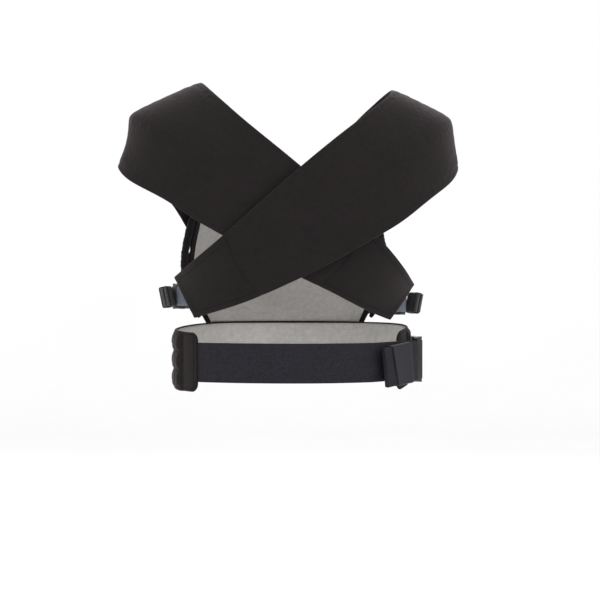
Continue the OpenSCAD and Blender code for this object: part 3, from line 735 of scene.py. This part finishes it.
# ---------------------------------------------------------------- body panel

PANEL_ARC = math.radians(60)              # half the angle that the panel goes round the wearer
# Height, half width, distance in front of Z at the sides, and how far the middle stands out from there
PANEL_ROWS = [[46, 104, 91, 28], [88, 124, 96, 68], [131, 129, 99, 76],
              [174, 122, 101, 66], [214, 110, 103, 50], [250, 97, 105, 38]]
PANEL_SEAM = 0.47          # the panel's cross seam, as a share of its height
PANEL_HEM = 0.93           # the stitch line under its top edge


def panel_surface(u, v):
    r = through(PANEL_ROWS, np.clip(v, 0, 1))
    a = mix(PANEL_ARC, -PANEL_ARC, u)
    half = math.cos(PANEL_ARC)
    return np.stack([
        r[..., 1] * np.sin(a) / math.sin(PANEL_ARC),
        r[..., 2] + r[..., 3] * (np.cos(a) - half) / (1 - half),
        r[..., 0] + (v - np.clip(v, 0, 1)) * 200,
    ], -1)


def panel_place(height):
    """The v on the panel at which a side strap's anchor of this height lies."""
    return (height - 46) / 212


def make_panel():
    edges = np.array([0, 0.012, 0.026])
    rows = np.concatenate([edges, np.linspace(0.045, 0.955, 71), 1 - edges[::-1]])
    cols = np.concatenate([np.linspace(0.0, PANEL_SEAM, 27), np.linspace(PANEL_SEAM, PANEL_HEM, 26)[1:],
                           [0.95, 0.965, 0.982, 1.0]])
    darts = [nearest(rows, r) for r in (0.27, 0.73)]
    seam, top_stitch = nearest(cols, PANEL_SEAM), nearest(cols, PANEL_HEM)
    u, v = grid(rows, cols)
    in_from_side = np.minimum(u, 1 - u)
    groove = bump(v, PANEL_SEAM, 0.018)
    for r in darts:
        groove = np.maximum(groove, bump(u, rows[r], 0.011) * (v < PANEL_SEAM + 0.02))
    side = bump(in_from_side, 0, 0.02)
    brim = bump(v, PANEL_HEM, 0.012)
    high = 3.6 - 2.0 * groove - 1.4 * side - 1.6 * brim + 0.9 * smooth(0.95, 0.975, v)
    sewn = np.zeros(u.shape)             # where the side straps are sewn down
    for near, height in ((u, SIDE_HEIGHTS[1]), (1 - u, SIDE_HEIGHTS[-1])):
        beside = smooth(0.09, 0.07, np.abs(v - panel_place(height)))
        sewn = np.maximum(sewn, smooth(0.21, 0.185, near) * beside)
    high += 1.5 * sewn * smooth(0.03, 0.05, in_from_side)
    panel = Slab("panel_padding", panel_surface, u, v, high, 3.2 - 1.2 * side - 0.9 * brim, rim=0.4)
    pins = np.zeros(u.shape)
    pins[darts, :seam + 1] = 1
    pins[:, [0, 1, seam, top_stitch, -1]] = 1
    pins[[0, 1, 2, -3, -2, -1]] = 1
    pins[sewn > 0.4] = 1
    panel.fill(pins, 0.8, pressure=3.0, grow=0.03, cap=3.0)
    every, down = np.arange(2, len(rows) - 2), np.arange(2, len(cols) - 2)
    lining = facing("panel_lining_cloth", panel, every, np.arange(1, top_stitch + 1))
    dress(panel.obj, 0.5, "root", "panel_shell", "panel_foam")
    line_with(lining, panel.obj, "root", "panel_lining")
    threads = [panel.line(every, k) for k in (seam - 1, seam + 1, top_stitch)]
    threads += [panel.line(r + k, np.arange(2, seam)) for r in darts for k in (-1, 1)]
    threads += [panel.line(r, down) for r in (2, len(rows) - 3)]
    sew("panel_stitching", threads, THREAD, "carrier_fabric")
    inner = [panel.line(every, top_stitch, True, 0.85)]
    inner += [panel.line(r, down[:-6], True, 0.85) for r in (3, len(rows) - 4)]
    sew("panel_lining_stitching", inner, GREY_THREAD, "lining_fabric")


def make_leg_pad(side):
    """A soft roll down the panel's side edge, gathered a little where the leg rests."""
    name = "leg_pad_right" if side > 0 else "leg_pad_left"
    t = np.linspace(0, 1, 110)
    v = mix(0.06, 0.72, t)
    line = panel_surface(np.full_like(v, 0.0 if side > 0 else 1.0), v) + [side * 6.4, -3.3, 0]
    ahead = unit(np.gradient(line, axis=0))
    a = unit(np.cross(ahead, [0, 1, 0]))
    b = np.cross(ahead, a)
    around = np.linspace(0, TURN, 33)[:-1]
    radius = mix(2.2, 5.5, np.sqrt(np.clip(6 * np.minimum(t, 1 - t), 0, 1)))
    gather = 0.28 * np.sin(t[:, None] * 150 + 1.7 * np.sin(around)[None]) * np.sin(t * math.pi)[:, None]
    gather += 0.22 * np.sin(t[:, None] * 61 + 2.3 * np.cos(around)[None] + 1)
    full = (radius[:, None] - 0.35 + gather * np.minimum(1, radius / 5)[:, None])[..., None]
    spin = a[:, None] * np.cos(around)[None, :, None] + b[:, None] * np.sin(around)[None, :, None]
    ring = line[:, None] + full * spin
    uv = np.stack([lengths(line)[:, None] + 0 * ring[..., 0], 7 * around[None] + 0 * ring[..., 0]], -1)
    pad = new_object(name + "_roll", ring.reshape(-1, 3), tube_faces(len(t), len(around)), uv.reshape(-1, 2))
    fix_facing(pad)
    subdivide(pad)
    dress(pad, 0.7, "root", name)


# ---------------------------------------------------------------- head support

HEAD_FROM, HEAD_TO = 0.47, 0.975          # the shares of the panel's height that it covers
HEAD_BEND = ("root", "head_support", (0, 150, 250), (0, 152, 244.5))
CAP_PROFILE = [(5.6, 0), (6.2, 0.3), (6.5, 0.9), (6.3, 1.5), (5.6, 2.05), (4.6, 2.3),
               (4.1, 2.2), (3.7, 1.95), (2.4, 1.85), (1.0, 1.8), (0.3, 1.8)]


def head_surface(s, v):
    return panel_surface(0.5 + (2 * s - 1) * mix(0.36, 0.17, smooth(0.8, 0.87, v)), v)


def head_low(v):
    """How far in front of the panel's middle surface the head support hangs."""
    return 5.6 + 9 * smooth(0.96, 0.88, v)


def make_head_support():
    rows = np.concatenate([[0, 0.0125, 0.0275], np.linspace(0.0475, 0.9525, 45), [0.9725, 0.9875, 1]])
    cols = np.concatenate([[HEAD_FROM, HEAD_FROM + 0.012, HEAD_FROM + 0.028],
                           np.linspace(HEAD_FROM + 0.05, HEAD_TO - 0.02, 40), [HEAD_TO - 0.008, HEAD_TO]])
    s, v = grid(rows, cols)
    ribs = [nearest(rows, r) for r in (0.33, 0.67)]
    hem = nearest(cols, HEAD_FROM + 0.028)
    ends = np.maximum(bump(v, HEAD_FROM, 0.02), bump(v, HEAD_TO, 0.02))
    edge = np.maximum(bump(np.minimum(s, 1 - s), 0, 0.025), ends)
    groove = np.maximum(*(bump(s, rows[r], 0.015) for r in ribs)) * (v > HEAD_FROM + 0.03)
    high = head_low(v) + 7.4 - 2.4 * edge - 2.2 * groove
    flap = Slab("head_support_padding", head_surface, s, v, high, -(head_low(v) + 1.2 + 1.2 * edge))
    pins = np.zeros(s.shape)
    pins[ribs, hem:] = 1
    pins[[0, 1, 2, -3, -2, -1]] = 1
    pins[:, [0, 1, 2, -2, -1]] = 1
    flap.fill(pins, 0.7, pressure=4.0, grow=0.035, cap=2.6)
    every, down = np.arange(2, len(rows) - 2), np.arange(2, len(cols) - 2)
    lining = facing("head_support_lining_cloth", flap, every, np.arange(2, len(cols) - 1))
    threads = [flap.line(every, k) for k in (hem, len(cols) - 4)]
    threads += [flap.line(r, down) for r in (2, len(rows) - 3)]
    threads += [flap.line(r + k, down[3:]) for r in ribs for k in (-1, 1)]
    sewing = stitches("head_support_stitching", threads)
    dress(flap.obj, 0.6, HEAD_BEND, "head_support_face", "head_support_foam")
    line_with(lining, flap.obj, HEAD_BEND, "head_support_lining")
    place(sewing, THREAD, "carrier_fabric", HEAD_BEND)
    at = HEAD_FROM + 0.05
    caps = [lathe(f"cap_{k}", CAP_PROFILE, *spot(panel_surface, u, at, head_low(at) + 7.6))
            for k, u in enumerate((0.2, 0.8))]
    place(join("head_snap_buttons", caps), SNAP, "snap_plastic", "head_support", "head_snap_caps")


# ---------------------------------------------------------------- shoulder straps

STRAP_INNER = [
    [50, 150, 232], [70, 134, 274], [93, 102, 314], [118, 54, 341], [130, 2, 352],
    [121, -46, 341], [88, -86, 315], [45, -110, 282], [0, -121, 245], [-50, -121, 201],
    [-98, -110, 158], [-132, -74, 128], [-153.5, -28, 108],
]
STRAP_MIDDLE = [
    [90, 136, 208], [112, 117, 248], [148, 84, 284], [185, 40, 307], [204, -6, 314],
    [181, -58, 300], [131, -98, 268], [86, -116, 231], [41, -124, 193], [-12, -124, 158],
    [-62, -114, 125], [-104, -90, 101], [-142, -48, 82],
]
STRAP_OUTER = [
    [128, 114, 172], [152, 88, 208], [184, 50, 237], [207, 14, 253], [214, -20, 251],
    [200, -54, 232], [166, -89, 207], [127, -110, 178], [88, -119, 155], [44, -120, 130],
    [-8, -117, 104], [-70, -103, 77], [-130, -62, 57],
]
RIGHT_SEAM, LEFT_SEAM = 0.855, 0.82   # where each strap's tapered end is sewn on
SEAM_SLANT = 0.033
SHOULDER = 0.37                       # where along its length a strap lies on top of the shoulder
STRAP_THICK, STRAP_THIN = 7, 3.4      # the CAD strap's thickness where it is padded, and beyond
LEFT_DROP = [0, 0, 0, 0, 0, 0, 2, 10, 11, 8, 5, 2, 0]     # how far the left one lies under the right one
STUD_PROFILE = [(6.0, 0), (6.5, 0.5), (6.4, 1.1), (5.7, 1.6), (3.0, 1.75), (2.4, 2.1), (2.1, 2.8),
                (2.15, 3.4), (2.5, 3.9), (2.45, 4.4), (2.0, 4.8), (1.2, 5.0), (0.3, 5.05)]


def dip(v):
    return 4 * np.clip(v, 0, 1) * (1 - np.clip(v, 0, 1))


def right_strap_surface(u, v, seam=RIGHT_SEAM):
    near = bump(u, SHOULDER, 0.13)
    u = u + v * SEAM_SLANT * smooth(0.6, seam, u) * (1 - smooth(seam, 1, u))
    a, b, c = (through(rows, u) for rows in (STRAP_INNER, STRAP_MIDDLE, STRAP_OUTER))
    turn_r = 0.3 - 0.18 * near
    bow = (np.sqrt(v * v + turn_r**2) - turn_r) / (np.sqrt(1 + turn_r**2) - turn_r)
    p = b + v[..., None] * (c - a) / 2 + bow[..., None] * ((a + c) / 2 - b)
    p[..., 0] -= 2 * near * dip(v)
    return p


def left_strap_surface(u, v):
    p = right_strap_surface(u, v, LEFT_SEAM)
    near = bump(u, SHOULDER, 0.13)
    end = smooth(LEFT_SEAM, 1, u)
    low = np.minimum(v, 0)
    across = near * (3 + 8.5 * v + 5.5 * low - 4.5 * dip(v))
    p = p + np.stack([across, 0 * u, near * (1 - 3 * v - 3 * low)], -1)
    p = p + np.stack([end * (4.2 + 6.2 * v), 0 * u, end * (3 * v - 5.7)], -1)
    return np.stack([-p[..., 0], p[..., 1] + through(LEFT_DROP, u), p[..., 2]], -1)


def make_strap(side, name):
    """One strap. v runs from the neck side's edge to the arm's; the left one is made with v turned over,
    so that both have their outer face on top."""
    if side > 0:
        surface, sewn_at = right_strap_surface, RIGHT_SEAM
    else:
        sewn_at = LEFT_SEAM

        def surface(u, v):
            return left_strap_surface(u, -v)
    rows = np.concatenate([[0.001, 0.004, 0.009], np.linspace(0.013, sewn_at - 0.006, 212),
                           [sewn_at - 0.0025, sewn_at, sewn_at + 0.0025],
                           np.linspace(sewn_at + 0.006, 0.986, 40), [0.9895, 0.9935, 0.997, 1.0]])
    one = np.ones(len(rows))
    width = np.linalg.norm(surface(rows, -one) - surface(rows, one), axis=1)
    hem = 2 * HEM / width
    border = [k * hem for k in (0, 0.25, 0.6, 1, 1.5, 2.2)]
    inner = np.linspace(0, 1, 26)[1:-1]
    cols = np.stack([-1 + d for d in border] + [mix(-1 + border[-1], 1 - border[-1], t) for t in inner]
                    + [1 - d for d in border[::-1]], 1)
    count = cols.shape[1]
    hems = (3, count - 4)
    u, v = grid(rows, cols)
    padded = smooth(0.62, 0.44, u)
    inset = (1 - np.abs(v)) * width[:, None] / 2
    half = mix(STRAP_THICK, STRAP_THIN, smooth(0.42, 0.62, u)) / 2
    cushion = half * mix(0.5, 0.96, smooth(-2, 15, inset))
    sewn = 1.45 - 0.5 * bump(inset, HEM, 1.1)
    seam = bump(u, sewn_at, 0.003)
    high = mix(sewn, cushion, padded) * (1 - 0.5 * seam) + 0.3 * bump(u, sewn_at + 0.007, 0.005)
    low = mix(1.3, cushion, padded) * (1 - 0.4 * seam)
    strap = Slab(name + "_strap_padding", surface, u, v, high, low)
    pins = mix(0.9, 0.45, padded)
    pins[:, [0, 1, -2, -1]] = 1
    pins[:, hems] = np.maximum(pins[:, hems], smooth(0.44, 0.6, rows)[:, None])
    seam_row = nearest(rows, sewn_at)
    pins[[0, 1, 2, seam_row, -4, -3, -2, -1]] = 1
    strap.fill(pins, 0.7, pressure=2.2, grow=0.016, cap=1.3)
    lining = facing(name + "_strap_lining_cloth", strap, np.arange(2, seam_row), np.arange(3, count - 3))
    dress(strap.obj, 0.55, "root", *[f"{name}_strap_{part}" for part in ("face", "pad", "end")])
    line_with(lining, strap.obj, "root", f"{name}_strap_lining", CARRIER, "carrier_fabric")
    every, tail_rows = np.arange(2, len(rows) - 3), np.arange(seam_row + 1, len(rows) - 4)
    threads = [strap.line(tail_rows, k, lift=0.02) for k in hems]
    threads.append(strap.line(len(rows) - 5, np.arange(hems[0], hems[1] + 1), lift=0.02))
    threads.append(strap.line(seam_row + 2, np.arange(1, count - 1), lift=0.02))
    threads += [strap.line(every, k, True, 0.9) for k in hems]
    sew(name + "_strap_stitching", threads, THREAD, "carrier_fabric")


def make_stud(side, name):
    surface = right_strap_surface if side > 0 else left_strap_surface
    away = side * spot(surface, 0.17, -0.55)[1]
    centre = spot(surface, 0.17, -0.55)[0] + away * (STRAP_THICK / 2 - 0.2)
    stud = lathe(name, STUD_PROFILE, centre, away)
    place(stud, SNAP, "snap_plastic", "root", name)
    stud.name = name + "_button"


# ---------------------------------------------------------------- buckles and webbing

# Webbing width, buckle thickness, socket length, plug length and wall, and where the buckle's middle is in
# plan, with the angle that its plug points away from
SIDE = dict(web=25, thick=9.5, socket=34, plug=21, wall=1.7, place=((144, 44), 108))
WAIST = dict(web=50, thick=11, socket=42, plug=26, wall=2, place=((162.6, 6), 91))
WAIST_HEIGHT = 2.0
WAIST_FOLD = ((147.4, -46), 42.2)
WAIST_SAG = 2.5            # how far the waist's free end sinks on its way to the fold
WAIST_DROOP = 7            # degrees that the waist's folded end hangs down
SIDE_LEAN = 12             # degrees that a side's folded end leans out at its top
LAYER_PITCH = WEBBING + 0.5
SIDE_LAYERS = {1: 4, -1: 5}
WAIST_LAYERS = 4
REAR_BAR, SLOT, MIDDLE_BAR = 4, 3.5, 3
ANCHOR_START = (138.6, 91)
ANCHOR_LIES = 8 / 2 + 1.5 + WEBBING / 2    # the anchor's middle, off the panel's middle surface


def in_plan(where, x, z):
    angle = math.radians(where[1])
    ahead = np.array([math.cos(angle), math.sin(angle)])
    out = np.array([math.sin(angle), -math.cos(angle)])
    return np.asarray(where[0], float) + x * ahead + z * out


def levels(b):
    """How far out the webbing's three runs through a ladder lock lie."""
    load = -b["thick"] / 2 + GAP + WEBBING / 2
    tail = load + WEBBING + GAP
    over = tail + WEBBING / 2 + GAP + b["wall"] + 1.8 + WEBBING / 2 + 0.2
    return load, tail, over


def threaded(b):
    """The loaded end: under the bars, up, over the middle bar and down again."""
    load, tail, over = levels(b)
    up = -b["plug"] + REAR_BAR + MIDDLE_BAR + 1.5 * SLOT
    down = -b["plug"] + REAR_BAR + SLOT / 2
    path = [(-b["plug"] - 6, load), (up, load), (up, over), (down, over), (down, tail + WEBBING / 2 + GAP)]
    return [in_plan(b["place"], x, z) for x, z in path]


def tail_start(b):
    tail = levels(b)[1]
    return [in_plan(b["place"], x, tail) for x in (-b["plug"] + REAR_BAR + SLOT - 1.2, -b["plug"] - 4)]


def folded(where, first, last, layers, spread):
    """Webbing folded back and forth, each layer a little looser than the one below it."""
    line = [(first, 0)]
    for k in range(layers):
        z, forward = k * LAYER_PITCH, k % 2 == 0
        run = (first + spread * k, last - spread * k)
        run = run if forward else run[::-1]
        if k == layers - 1:
            line.append((mix(*run, 0.82), z))
            break
        bend, radius = np.linspace(-90, -270 if forward else 90, 9), LAYER_PITCH / 2
        line += [(run[1] + radius * math.cos(a), z + radius + radius * math.sin(a)) for a in np.radians(bend)]
    return [in_plan(where, x, z) for x, z in line]


def mirrored(points, side):
    return np.asarray(points, float) * [side, 1]


def loop(name, where, z, x, length, layers, width, start=0.0, side=1, slack=0.0, slant=0.0):
    """A ring of ribbed elastic round a folded tail, waisted a little by its own pull."""
    low, high = start - WEBBING / 2, start + (layers - 1) * LAYER_PITCH + WEBBING / 2
    half_w, half_t = width / 2 + GAP + ELASTIC / 2, (high - low) / 2 + GAP + ELASTIC / 2
    corner = 1.6
    path = []
    for cx, cy, a0 in ((1, 1, 0), (-1, 1, 90), (-1, -1, 180), (1, -1, 270)):
        for a in np.radians(np.linspace(a0, a0 + 90, 7)):
            path.append((cx * (half_w - corner) + corner * math.cos(a),
                         cy * (half_t - corner) + corner * math.sin(a)))
    path = resample(np.array(path + path[:1]), 1.4)[:-1]
    ahead = unit(np.roll(path, -1, 0) - np.roll(path, 1, 0))
    out = np.column_stack([ahead[:, 1], -ahead[:, 0]])
    s = np.linspace(-1, 1, max(int(length / 1.3), 6))
    profile = [(k * length / 2, ELASTIC / 2 * (1 - 0.35 * k**8) - 0.35 * (1 - k * k)) for k in s]
    profile += [(k * length / 2 * 0.992, -ELASTIC / 2 * (1 - 0.3 * k**8) - 0.25 * (1 - k * k))
                for k in s[::-1]]
    around = lengths(np.vstack([path, path[:1]]))[:-1]
    points, uv = [], []
    for at, outward, run in zip(path, out, around):
        for along, off in profile:
            y, depth = at + outward * off
            pulled = along - (slack + slant * y) * (0.5 - along / length)
            flat = in_plan(where, x + length / 2 + pulled, (high + low) / 2 + depth)
            points.append((side * flat[0], flat[1], z + y))
            uv.append((run, along))
    obj = new_object(name, points, tube_faces(len(path), len(profile), capped=False, looped=True), uv)
    fix_facing(obj)
    return obj


def turn(obj, centre, axis, degrees):
    """Turns a piece about an axis through a point."""
    spin = np.array(Matrix.Rotation(math.radians(degrees), 3, Vector(axis)))
    centre = np.asarray(centre, float)
    move_points(obj, (places(obj) - centre) @ spin.T + centre)


def box_x(name, corners, away, slot):
    """Box-and-cross stitching over a sewn-down end, from its four corners in order."""
    a, b, c, d = corners
    t = np.linspace(0, 1, 12)[:, None]
    rows = [(p * (1 - t) + q * t, np.tile(away, (12, 1)))
            for p, q in ((a, b), (b, c), (c, d), (d, a), (a, c), (b, d))]
    sew(name, rows, THREAD, slot, pitch=2.6, stitch=2.0)


def make_side(side, name):
    b, height = SIDE, SIDE_HEIGHTS[side]
    load, tail = levels(b)[:2]
    where, width = b["place"], b["web"] - 0.4
    fold = (in_plan(where, 0, tail), where[1])
    first, last = -b["plug"] - 8, -b["plug"] - 36
    layers = SIDE_LAYERS[side]
    tail_body = name + "_tail"

    def moved(x, z):
        p = in_plan(where, x, z)
        return (side * p[0], p[1], height)

    # the loaded webbing, from under the strap's end to the plug
    tuck = 9.5 if side > 0 else 3.5         # how much nearer the wearer the webbing starts
    path = [(122 - 0.8 * tuck, -69 + 0.6 * tuck), (135 - 0.8 * tuck, -51 + 0.6 * tuck),
            (144 - 0.4 * tuck, -31 + 0.1 * tuck), (148, -10), (147.4, 6)]
    path = mirrored(rounded(path + threaded(b), 1.5), side)
    web = on_edge(name + "_side_strap", path, height, b["web"], ripple=0.12)
    bend = ("root", name + "_plug", (side * 138, -35, height), moved(-b["plug"] - 3, load))
    place(web, SIDE_WEB, "side_webbing", bend, name + "_side_webbing")
    # the free end: from the plug to the fold, then back and forth
    path = mirrored(rounded(tail_start(b) + [in_plan(fold, first + GAP, 0)], 1.0), side)
    piece = on_edge(name + "_side_tail", path, height, width)
    bend = (name + "_plug", tail_body, moved(-b["plug"] - 1, tail), moved(first - 1, tail))
    place(piece, TAIL_WEB, "side_webbing", bend, tail_body)
    path = mirrored(folded(fold, first, last, layers, 0.5), side)
    piece = on_edge(name + "_side_fold", path, height, width, 0.8, ripple=0.15)
    angle = math.radians(where[1])
    lean = ((side * fold[0][0], fold[0][1], height - b["web"] / 2),
            (side * math.cos(angle), math.sin(angle), 0), side * SIDE_LEAN)
    turn(piece, *lean)
    place(piece, TAIL_WEB, "side_webbing", tail_body, name + "_tail_fold")
    band = loop(name + "_keeper_loop", where, height, last + 3, 20, layers, b["web"], start=tail, side=side)
    turn(band, *lean)
    subdivide(band)
    place(band, ELASTIC_BAND, "elastic", name + "_keeper", name + "_keeper")
    # from the socket's bar to the panel's edge, and down onto the panel
    bar = b["socket"] - 2
    path = [in_plan(where, x, z) for x, z in ((bar - 4.4, -1), (bar - 4.4, 3.5), (bar + 3, 3.5))]
    path = mirrored(rounded(path + [ANCHOR_START], 1.6), side)
    piece = on_edge(name + "_socket_strap", path, height, b["web"], ripple=0.1)
    place(piece, SIDE_WEB, "side_webbing", "root", name + "_socket_webbing")
    make_anchor(side, name, height)
    make_buckle(name, 0.42)


def anchor_line(height):
    u, v = np.array([0.045, 0.08, 0.12, 0.17]), np.full(4, panel_place(height))
    off = np.array([ANCHOR_LIES + 1.5, ANCHOR_LIES, ANCHOR_LIES, ANCHOR_LIES])
    on = panel_surface(u, v) + normals(panel_surface, u, v) * off[:, None]
    start = (ANCHOR_START[0], ANCHOR_START[1] + GAP, height)
    return np.vstack([start, (139, 97, height), (134.8, 106, height), on])


def make_anchor(side, name, height):
    t = np.linspace(0, 1, 34)
    low, high = (through(anchor_line(height + k * SIDE["web"] / 2), t) for k in (-1, 1))
    flip = np.array([side, 1, 1])
    piece = ribbon(name + "_anchor_strap", (low + high) / 2 * flip, SIDE["web"], (high - low) * flip)
    place(piece, SIDE_WEB, "side_webbing", "root", name + "_anchor")
    v, lift = panel_place(height), ANCHOR_LIES + WEBBING / 2 + 0.35
    corners = [spot(panel_surface, u, v + dv, lift)[0] * flip
               for u, dv in ((0.085, -0.045), (0.165, -0.045), (0.165, 0.045), (0.085, 0.045))]
    away = spot(panel_surface, 0.125, v)[1] * flip
    box_x(name + "_anchor_stitching", corners, away, "side_webbing")


def make_buckle(name, bevel):
    for part in ("socket", "plug", "latch_upper", "latch_lower"):
        node = f"{name}_{part}"
        material = LATCH if "latch" in part else BUCKLE
        piece = moulding(f"{node}_moulding", node, bevel if material is BUCKLE else bevel * 0.6)
        place(piece, material, "buckle_plastic", "root" if part == "socket" else node, node)


def make_waist():
    b, z = WAIST, WAIST_HEIGHT
    load, tail = levels(b)[:2]
    where, web = b["place"], dict(width=b["web"], across=14)

    def belt_off(phi):
        return mix(2.4, 10.8 + 2.4, smooth(-45, -8, phi))

    around = np.linspace(205, 340, 136)
    off = np.maximum(belt_off(around - 360), smooth(218, 210, around) * (2 * GAP + FABRIC + WEBBING / 2))
    into_plug = rounded([ring_at(340.0, belt_off(-20.0))] + threaded(b), 1.6)
    path = resample(np.vstack([ring_at(around, off), into_plug]), 1.4)
    s = lengths(path)
    height = (z - 2 * GAP) * smooth(s[-1] - 130, s[-1] - 70, s) - 0.5 * bump(s, s[-1] * 0.45, 90)
    belt = ribbon("waist_belt", np.column_stack([path, height]), ripple=0.12, **web)
    bend = ("root", "waist_plug", (*ring_at(-33.0, 5.0), z), (*in_plan(where, -b["plug"] - 3, load), z))
    place(belt, WAIST_WEB, "waist_webbing", bend, "waist_webbing", "waist_webbing_end")
    # the free end: down to the fold, then back and forth
    line = resample(rounded(tail_start(b) + [(160.7, -31.2), in_plan(WAIST_FOLD, -0.5, 0)], 3), 1.0)
    s = lengths(line)
    sinking = smooth(0, s[-1], s)
    slant = math.tan(math.radians(WAIST_DROOP)) * sinking[:, None]
    side = np.column_stack([unit(np.gradient(line, axis=0)) * slant, np.ones(len(line))])
    low = z - WAIST_SAG
    piece = ribbon("waist_free_end", np.column_stack([line, z - WAIST_SAG * sinking]), side=side, **web)
    bend = ("waist_plug", "waist_tail", (*in_plan(where, -b["plug"] - 1, tail), z),
            (*in_plan(WAIST_FOLD, 2, 0), low))
    place(piece, WAIST_WEB, "waist_webbing", bend, "waist_tail")
    path = folded(WAIST_FOLD, 0, -51.5, WAIST_LAYERS, 1.2)
    piece = on_edge("waist_folded_end", path, low, ripple=0.2, **web)
    angle = math.radians(WAIST_FOLD[1])
    droop = ((*WAIST_FOLD[0], low), (math.sin(angle), -math.cos(angle), 0), WAIST_DROOP)
    turn(piece, *droop)
    place(piece, WAIST_WEB, "waist_webbing", "waist_tail", "waist_tail_fold")
    band = loop("waist_keeper_loop", WAIST_FOLD, low, -36, 32, WAIST_LAYERS, b["web"], slack=2.4, slant=0.12)
    turn(band, *droop)
    subdivide(band)
    place(band, ELASTIC_BAND, "elastic", "waist_keeper", "waist_keeper")
    # from the socket's bar onto the waistband
    bar = b["socket"] - 2
    path = [in_plan(where, x, h)
            for x, h in ((bar - 4.4, -1.5), (bar - 4.4, 3.6), (bar + 3, 3.4), (bar + 10, 0))]
    on_band = ring_at(np.linspace(38, 56, 16), 12.0)
    path = np.vstack([rounded(path + [(148, 67), on_band[0]], 2.0), on_band[1:]])
    piece = on_edge("waist_socket_strap", path, z, b["web"] - 2, 1.2, across=14, ripple=0.1)
    place(piece, WAIST_WEB, "waist_webbing", "root", "waist_socket_webbing")
    corners = [np.array([*ring_at(p, 13.1), z + dz])
               for p, dz in ((45.5, -20), (55, -20), (55, 20), (45.5, 20))]
    away = np.array([math.cos(math.radians(59)), math.sin(math.radians(59)), 0])
    box_x("waist_anchor_stitching", corners, away, "waist_webbing")
    make_buckle("waist", 0.55)


# ---------------------------------------------------------------- the scene

make_waistband()
make_panel()
make_leg_pad(1)
make_leg_pad(-1)
make_head_support()
make_strap(1, "right")
make_strap(-1, "left")
make_stud(1, "head_stud_right")
make_stud(-1, "head_stud_left")
make_side(1, "right")
make_side(-1, "left")
make_waist()


CAMERA_AT = (-0.2618, -2.5908, 0.079)      # metres
CAMERA_TOWARDS = (0.1045, 0.9945)          # in plan
LENS = 120                                 # on a 36 mm sensor
FLOOR_LEVEL, FLOOR_RADIUS, SWEEP = -0.42, 5.0, 1.2
# Each lamp's place, the height on Z that it is aimed at, its side in metres and its power
LAMPS = {"key": ((-1.6, -2.2, 2.2), 0.15, 1.6, 34), "fill": ((2.2, -1.6, 1.4), 0.1, 1.8, 20),
         "front": ((0.6, 2.4, 1.8), 0.1, 1.8, 24)}


def make_camera():
    camera = bpy.data.cameras.new("photo_camera")
    configure(camera, sensor_width=36, lens=LENS, clip_end=50)
    obj = link("photo_camera", camera)
    obj.location = CAMERA_AT
    obj.rotation_euler = (math.radians(90), 0, -math.atan2(*CAMERA_TOWARDS))
    bpy.context.scene.camera = obj


def area_light(name, where, aim, size, power):
    light = bpy.data.lights.new(name, "AREA")
    configure(light, shape="RECTANGLE", size=size, size_y=size, energy=power)
    obj = link(name, light)
    obj.location = where
    obj.rotation_euler = (Vector((0, 0, aim)) - Vector(where)).to_track_quat("-Z", "Y").to_euler()


def make_studio():
    """A pale sweep: a floor that curves up into a far wall on every side of the camera's view."""
    bend = np.linspace(0.1, 1, 10) * math.pi / 2
    radius = [[0.001], np.linspace(0.4, FLOOR_RADIUS, 14), FLOOR_RADIUS + SWEEP * np.sin(bend)]
    radius = np.concatenate(radius)
    height = np.concatenate([np.zeros(15), SWEEP * (1 - np.cos(bend))])
    angles = circle(72)
    radius, height = radius[:, None], height[:, None] + FLOOR_LEVEL + 0 * angles
    points = np.stack([radius * np.cos(angles), radius * np.sin(angles), height], -1).reshape(-1, 3) / MM
    floor = new_object("studio_floor", points, tube_faces(len(radius), len(angles), capped=False))
    floor.data.materials.append(floor_material())
    world = bpy.data.worlds.new("studio")
    bpy.context.scene.world = world
    world.use_nodes = True
    background = world.node_tree.nodes["Background"]
    background.inputs["Color"].default_value = (1, 1, 1, 1)
    background.inputs["Strength"].default_value = 1.0
    for name, lamp in LAMPS.items():
        area_light(name, *lamp)
    bpy.context.scene.view_settings.view_transform = "Standard"


make_camera()
make_studio()
